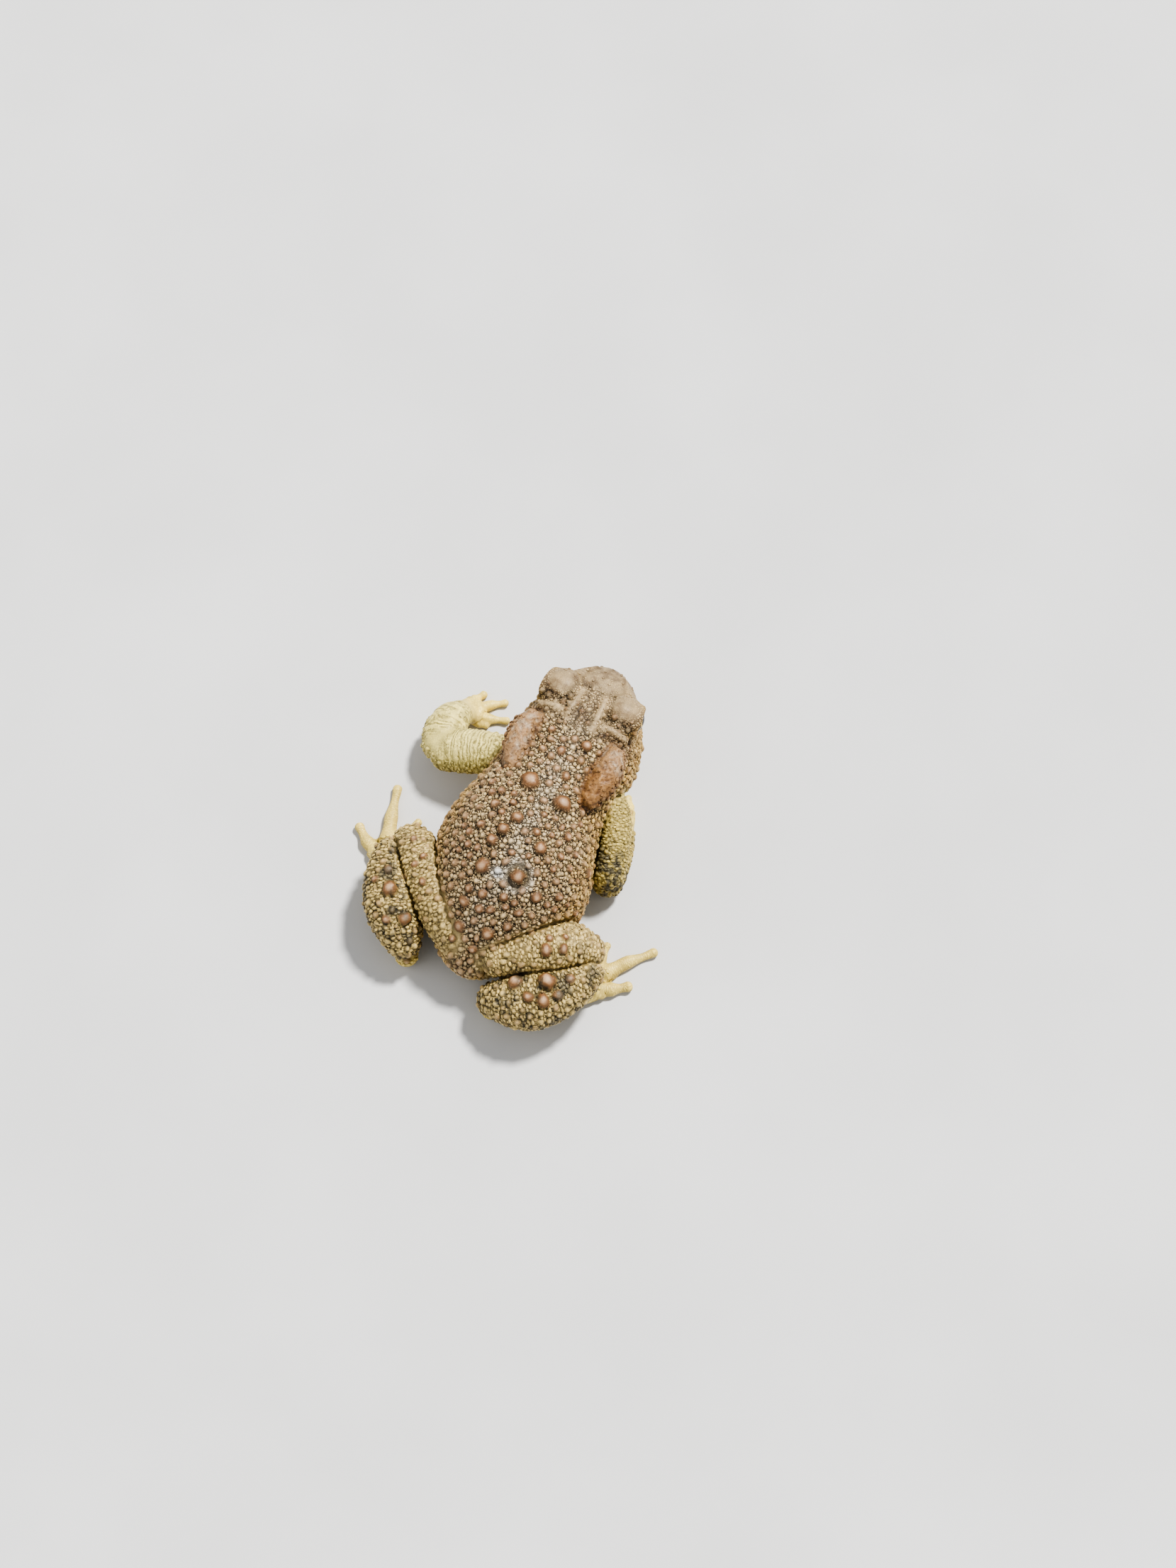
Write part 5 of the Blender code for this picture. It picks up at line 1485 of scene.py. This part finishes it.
def eye_material():
    made = bpy.data.materials.new("toad_eye")
    made.use_nodes = True
    tree = made.node_tree
    shader = tree.nodes["Principled BSDF"]
    iris = add_attribute(tree, "iris", "Vector")
    split = tree.nodes.new("ShaderNodeSeparateXYZ")
    tree.links.new(iris, split.inputs[0])
    flat = add_math(tree, "DIVIDE", split.outputs[0], PUPIL_WIDTH)
    tall = add_math(tree, "DIVIDE", split.outputs[1], PUPIL_HEIGHT)
    squared = add_math(tree, "ADD", times(tree, flat, flat), times(tree, tall, tall))
    reach = add_math(tree, "SQRT", squared)
    front = add_ramp(tree, split.outputs[2], 0.0, 0.1)
    flecks = tree.nodes.new("ShaderNodeTexVoronoi")
    flecks.inputs["Scale"].default_value = 5.0
    tree.links.new(iris, flecks.inputs["Vector"])
    gold = add_ramp(tree, flecks.outputs["Distance"], 0.62, 0.22)
    cloud = add_ramp(tree, add_noise(tree, iris, 1.3, 4.0), 0.35, 0.65)
    amount = times(tree, gold, times_plus(tree, cloud, 0.6, 0.4))
    colour = add_mix(tree, amount, BRONZE, GOLD)
    edge = times(tree, add_ramp(tree, reach, 0.95, 1.06), add_ramp(tree, reach, 1.32, 1.14))
    colour = add_mix(tree, times(tree, edge, 0.9), colour, PUPIL_RIM)
    rim = add_ramp(tree, split.outputs[2], 0.62, 0.40)
    colour = add_mix(tree, rim, colour, EYE_RIM)
    pupil = times(tree, add_ramp(tree, reach, 1.02, 0.94), front)
    colour = add_mix(tree, pupil, colour, PUPIL)
    tree.links.new(colour, shader.inputs["Base Color"])
    tree.links.new(times_plus(tree, amount, -0.1, 0.32), shader.inputs["Roughness"])
    shader.inputs["Coat Weight"].default_value = 0.4
    shader.inputs["Coat Roughness"].default_value = 0.03
    shader.inputs["Coat IOR"].default_value = 1.34
    shader.inputs["Specular IOR Level"].default_value = 0.25
    return made


EYE = eye_material()
for name, side in (("eye_left", 1), ("eye_right", -1)):
    eye = make_eye(f"{name}_ball", side)
    eye.data.materials.append(EYE)
    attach(eye, "root")
    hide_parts(name)
    print(eye.name, len(eye.data.polygons), "faces")

# %% [markdown]
# ## Floor, light and camera
# A plain pale floor, a soft key light from high in front of the toad, and an even sky. The view's look is
# a step stronger in contrast than Blender's own, to keep the creases of the skin dark. The camera looks
# down steeply from behind the toad's right side, and the toad fills about a quarter of the picture's height.

# %% Floor
def make_floor():
    bm = bmesh.new()
    bmesh.ops.create_grid(bm, x_segments=2, y_segments=2, size=3.0)
    floor = to_object("floor", bm)
    made = bpy.data.materials.new("pale_floor")
    made.use_nodes = True
    tree = made.node_tree
    shader = tree.nodes["Principled BSDF"]
    coordinates = tree.nodes.new("ShaderNodeTexCoord")
    tone = add_ramp(tree, add_noise(tree, coordinates.outputs["Object"], 14.0, 4.0), 0.2, 0.8)
    colour = add_mix(tree, tone, (0.60, 0.59, 0.57, 1.0), (0.66, 0.65, 0.63, 1.0))
    tree.links.new(colour, shader.inputs["Base Color"])
    shader.inputs["Roughness"].default_value = 0.75
    floor.data.materials.append(made)
    return floor


make_floor()
print("floor laid")

# %% Light
def add_sun(name, power, spread, direction):
    light = bpy.data.lights.new(name, "SUN")
    light.energy = power
    light.angle = math.radians(spread)
    holder = bpy.data.objects.new(name, light)
    holder.rotation_euler = Vector(direction).to_track_quat("Z", "Y").to_euler()
    bpy.context.scene.collection.objects.link(holder)


add_sun("key", 4.4, 9.0, (-0.22, -0.62, 1.0))
add_sun("fill", 0.5, 60.0, (0.7, 0.6, 0.7))
sky = bpy.data.worlds.new("studio")
sky.use_nodes = True
sky.node_tree.nodes["Background"].inputs["Color"].default_value = (0.92, 0.95, 1.0, 1.0)
sky.node_tree.nodes["Background"].inputs["Strength"].default_value = 0.5
bpy.context.scene.world = sky
bpy.context.scene.view_settings.look = "AgX - High Contrast"
print("lit")

# %% Camera
PIXEL = 0.1808                    # millimetres of the toad's plane in one pixel of the photo
PHOTO = (1659, 2212)
TOAD_PIXEL = (758.0, 1160.0)      # where the toad-frame point below falls in the photo
TOAD_POINT = Vector((3.0, 0.0, 0.0))
AZIMUTH, ELEVATION = math.radians(205.7), math.radians(70.0)
DISTANCE = 1000.0                 # far off, so that the view is nearly flat, as a long lens gives it
PLANE_HEIGHT = 14.0               # of the toad's plane above the floor
SENSOR = 36.0


def make_camera():
    back = Vector((
        math.sin(AZIMUTH) * math.cos(ELEVATION), -math.cos(AZIMUTH) * math.cos(ELEVATION), math.sin(ELEVATION)
    ))
    turn = back.to_track_quat("Z", "Y")
    right, above = turn @ Vector((1, 0, 0)), turn @ Vector((0, 1, 0))
    aim = TOAD_POINT + TO_CENTRE
    aim += right * (PHOTO[0] / 2 - TOAD_PIXEL[0]) * PIXEL
    aim += above * (TOAD_PIXEL[1] - PHOTO[1] / 2) * PIXEL
    aim += back * (PLANE_HEIGHT / math.sin(ELEVATION))
    lens = bpy.data.cameras.new("camera")
    lens.sensor_width = SENSOR
    lens.lens = SENSOR * DISTANCE / (PHOTO[1] * PIXEL)
    lens.clip_start = 0.05
    lens.clip_end = 20.0
    camera = bpy.data.objects.new("camera", lens)
    camera.location = (aim + back * DISTANCE) * MM
    camera.rotation_euler = turn.to_euler()
    bpy.context.scene.collection.objects.link(camera)
    bpy.context.scene.camera = camera


make_camera()
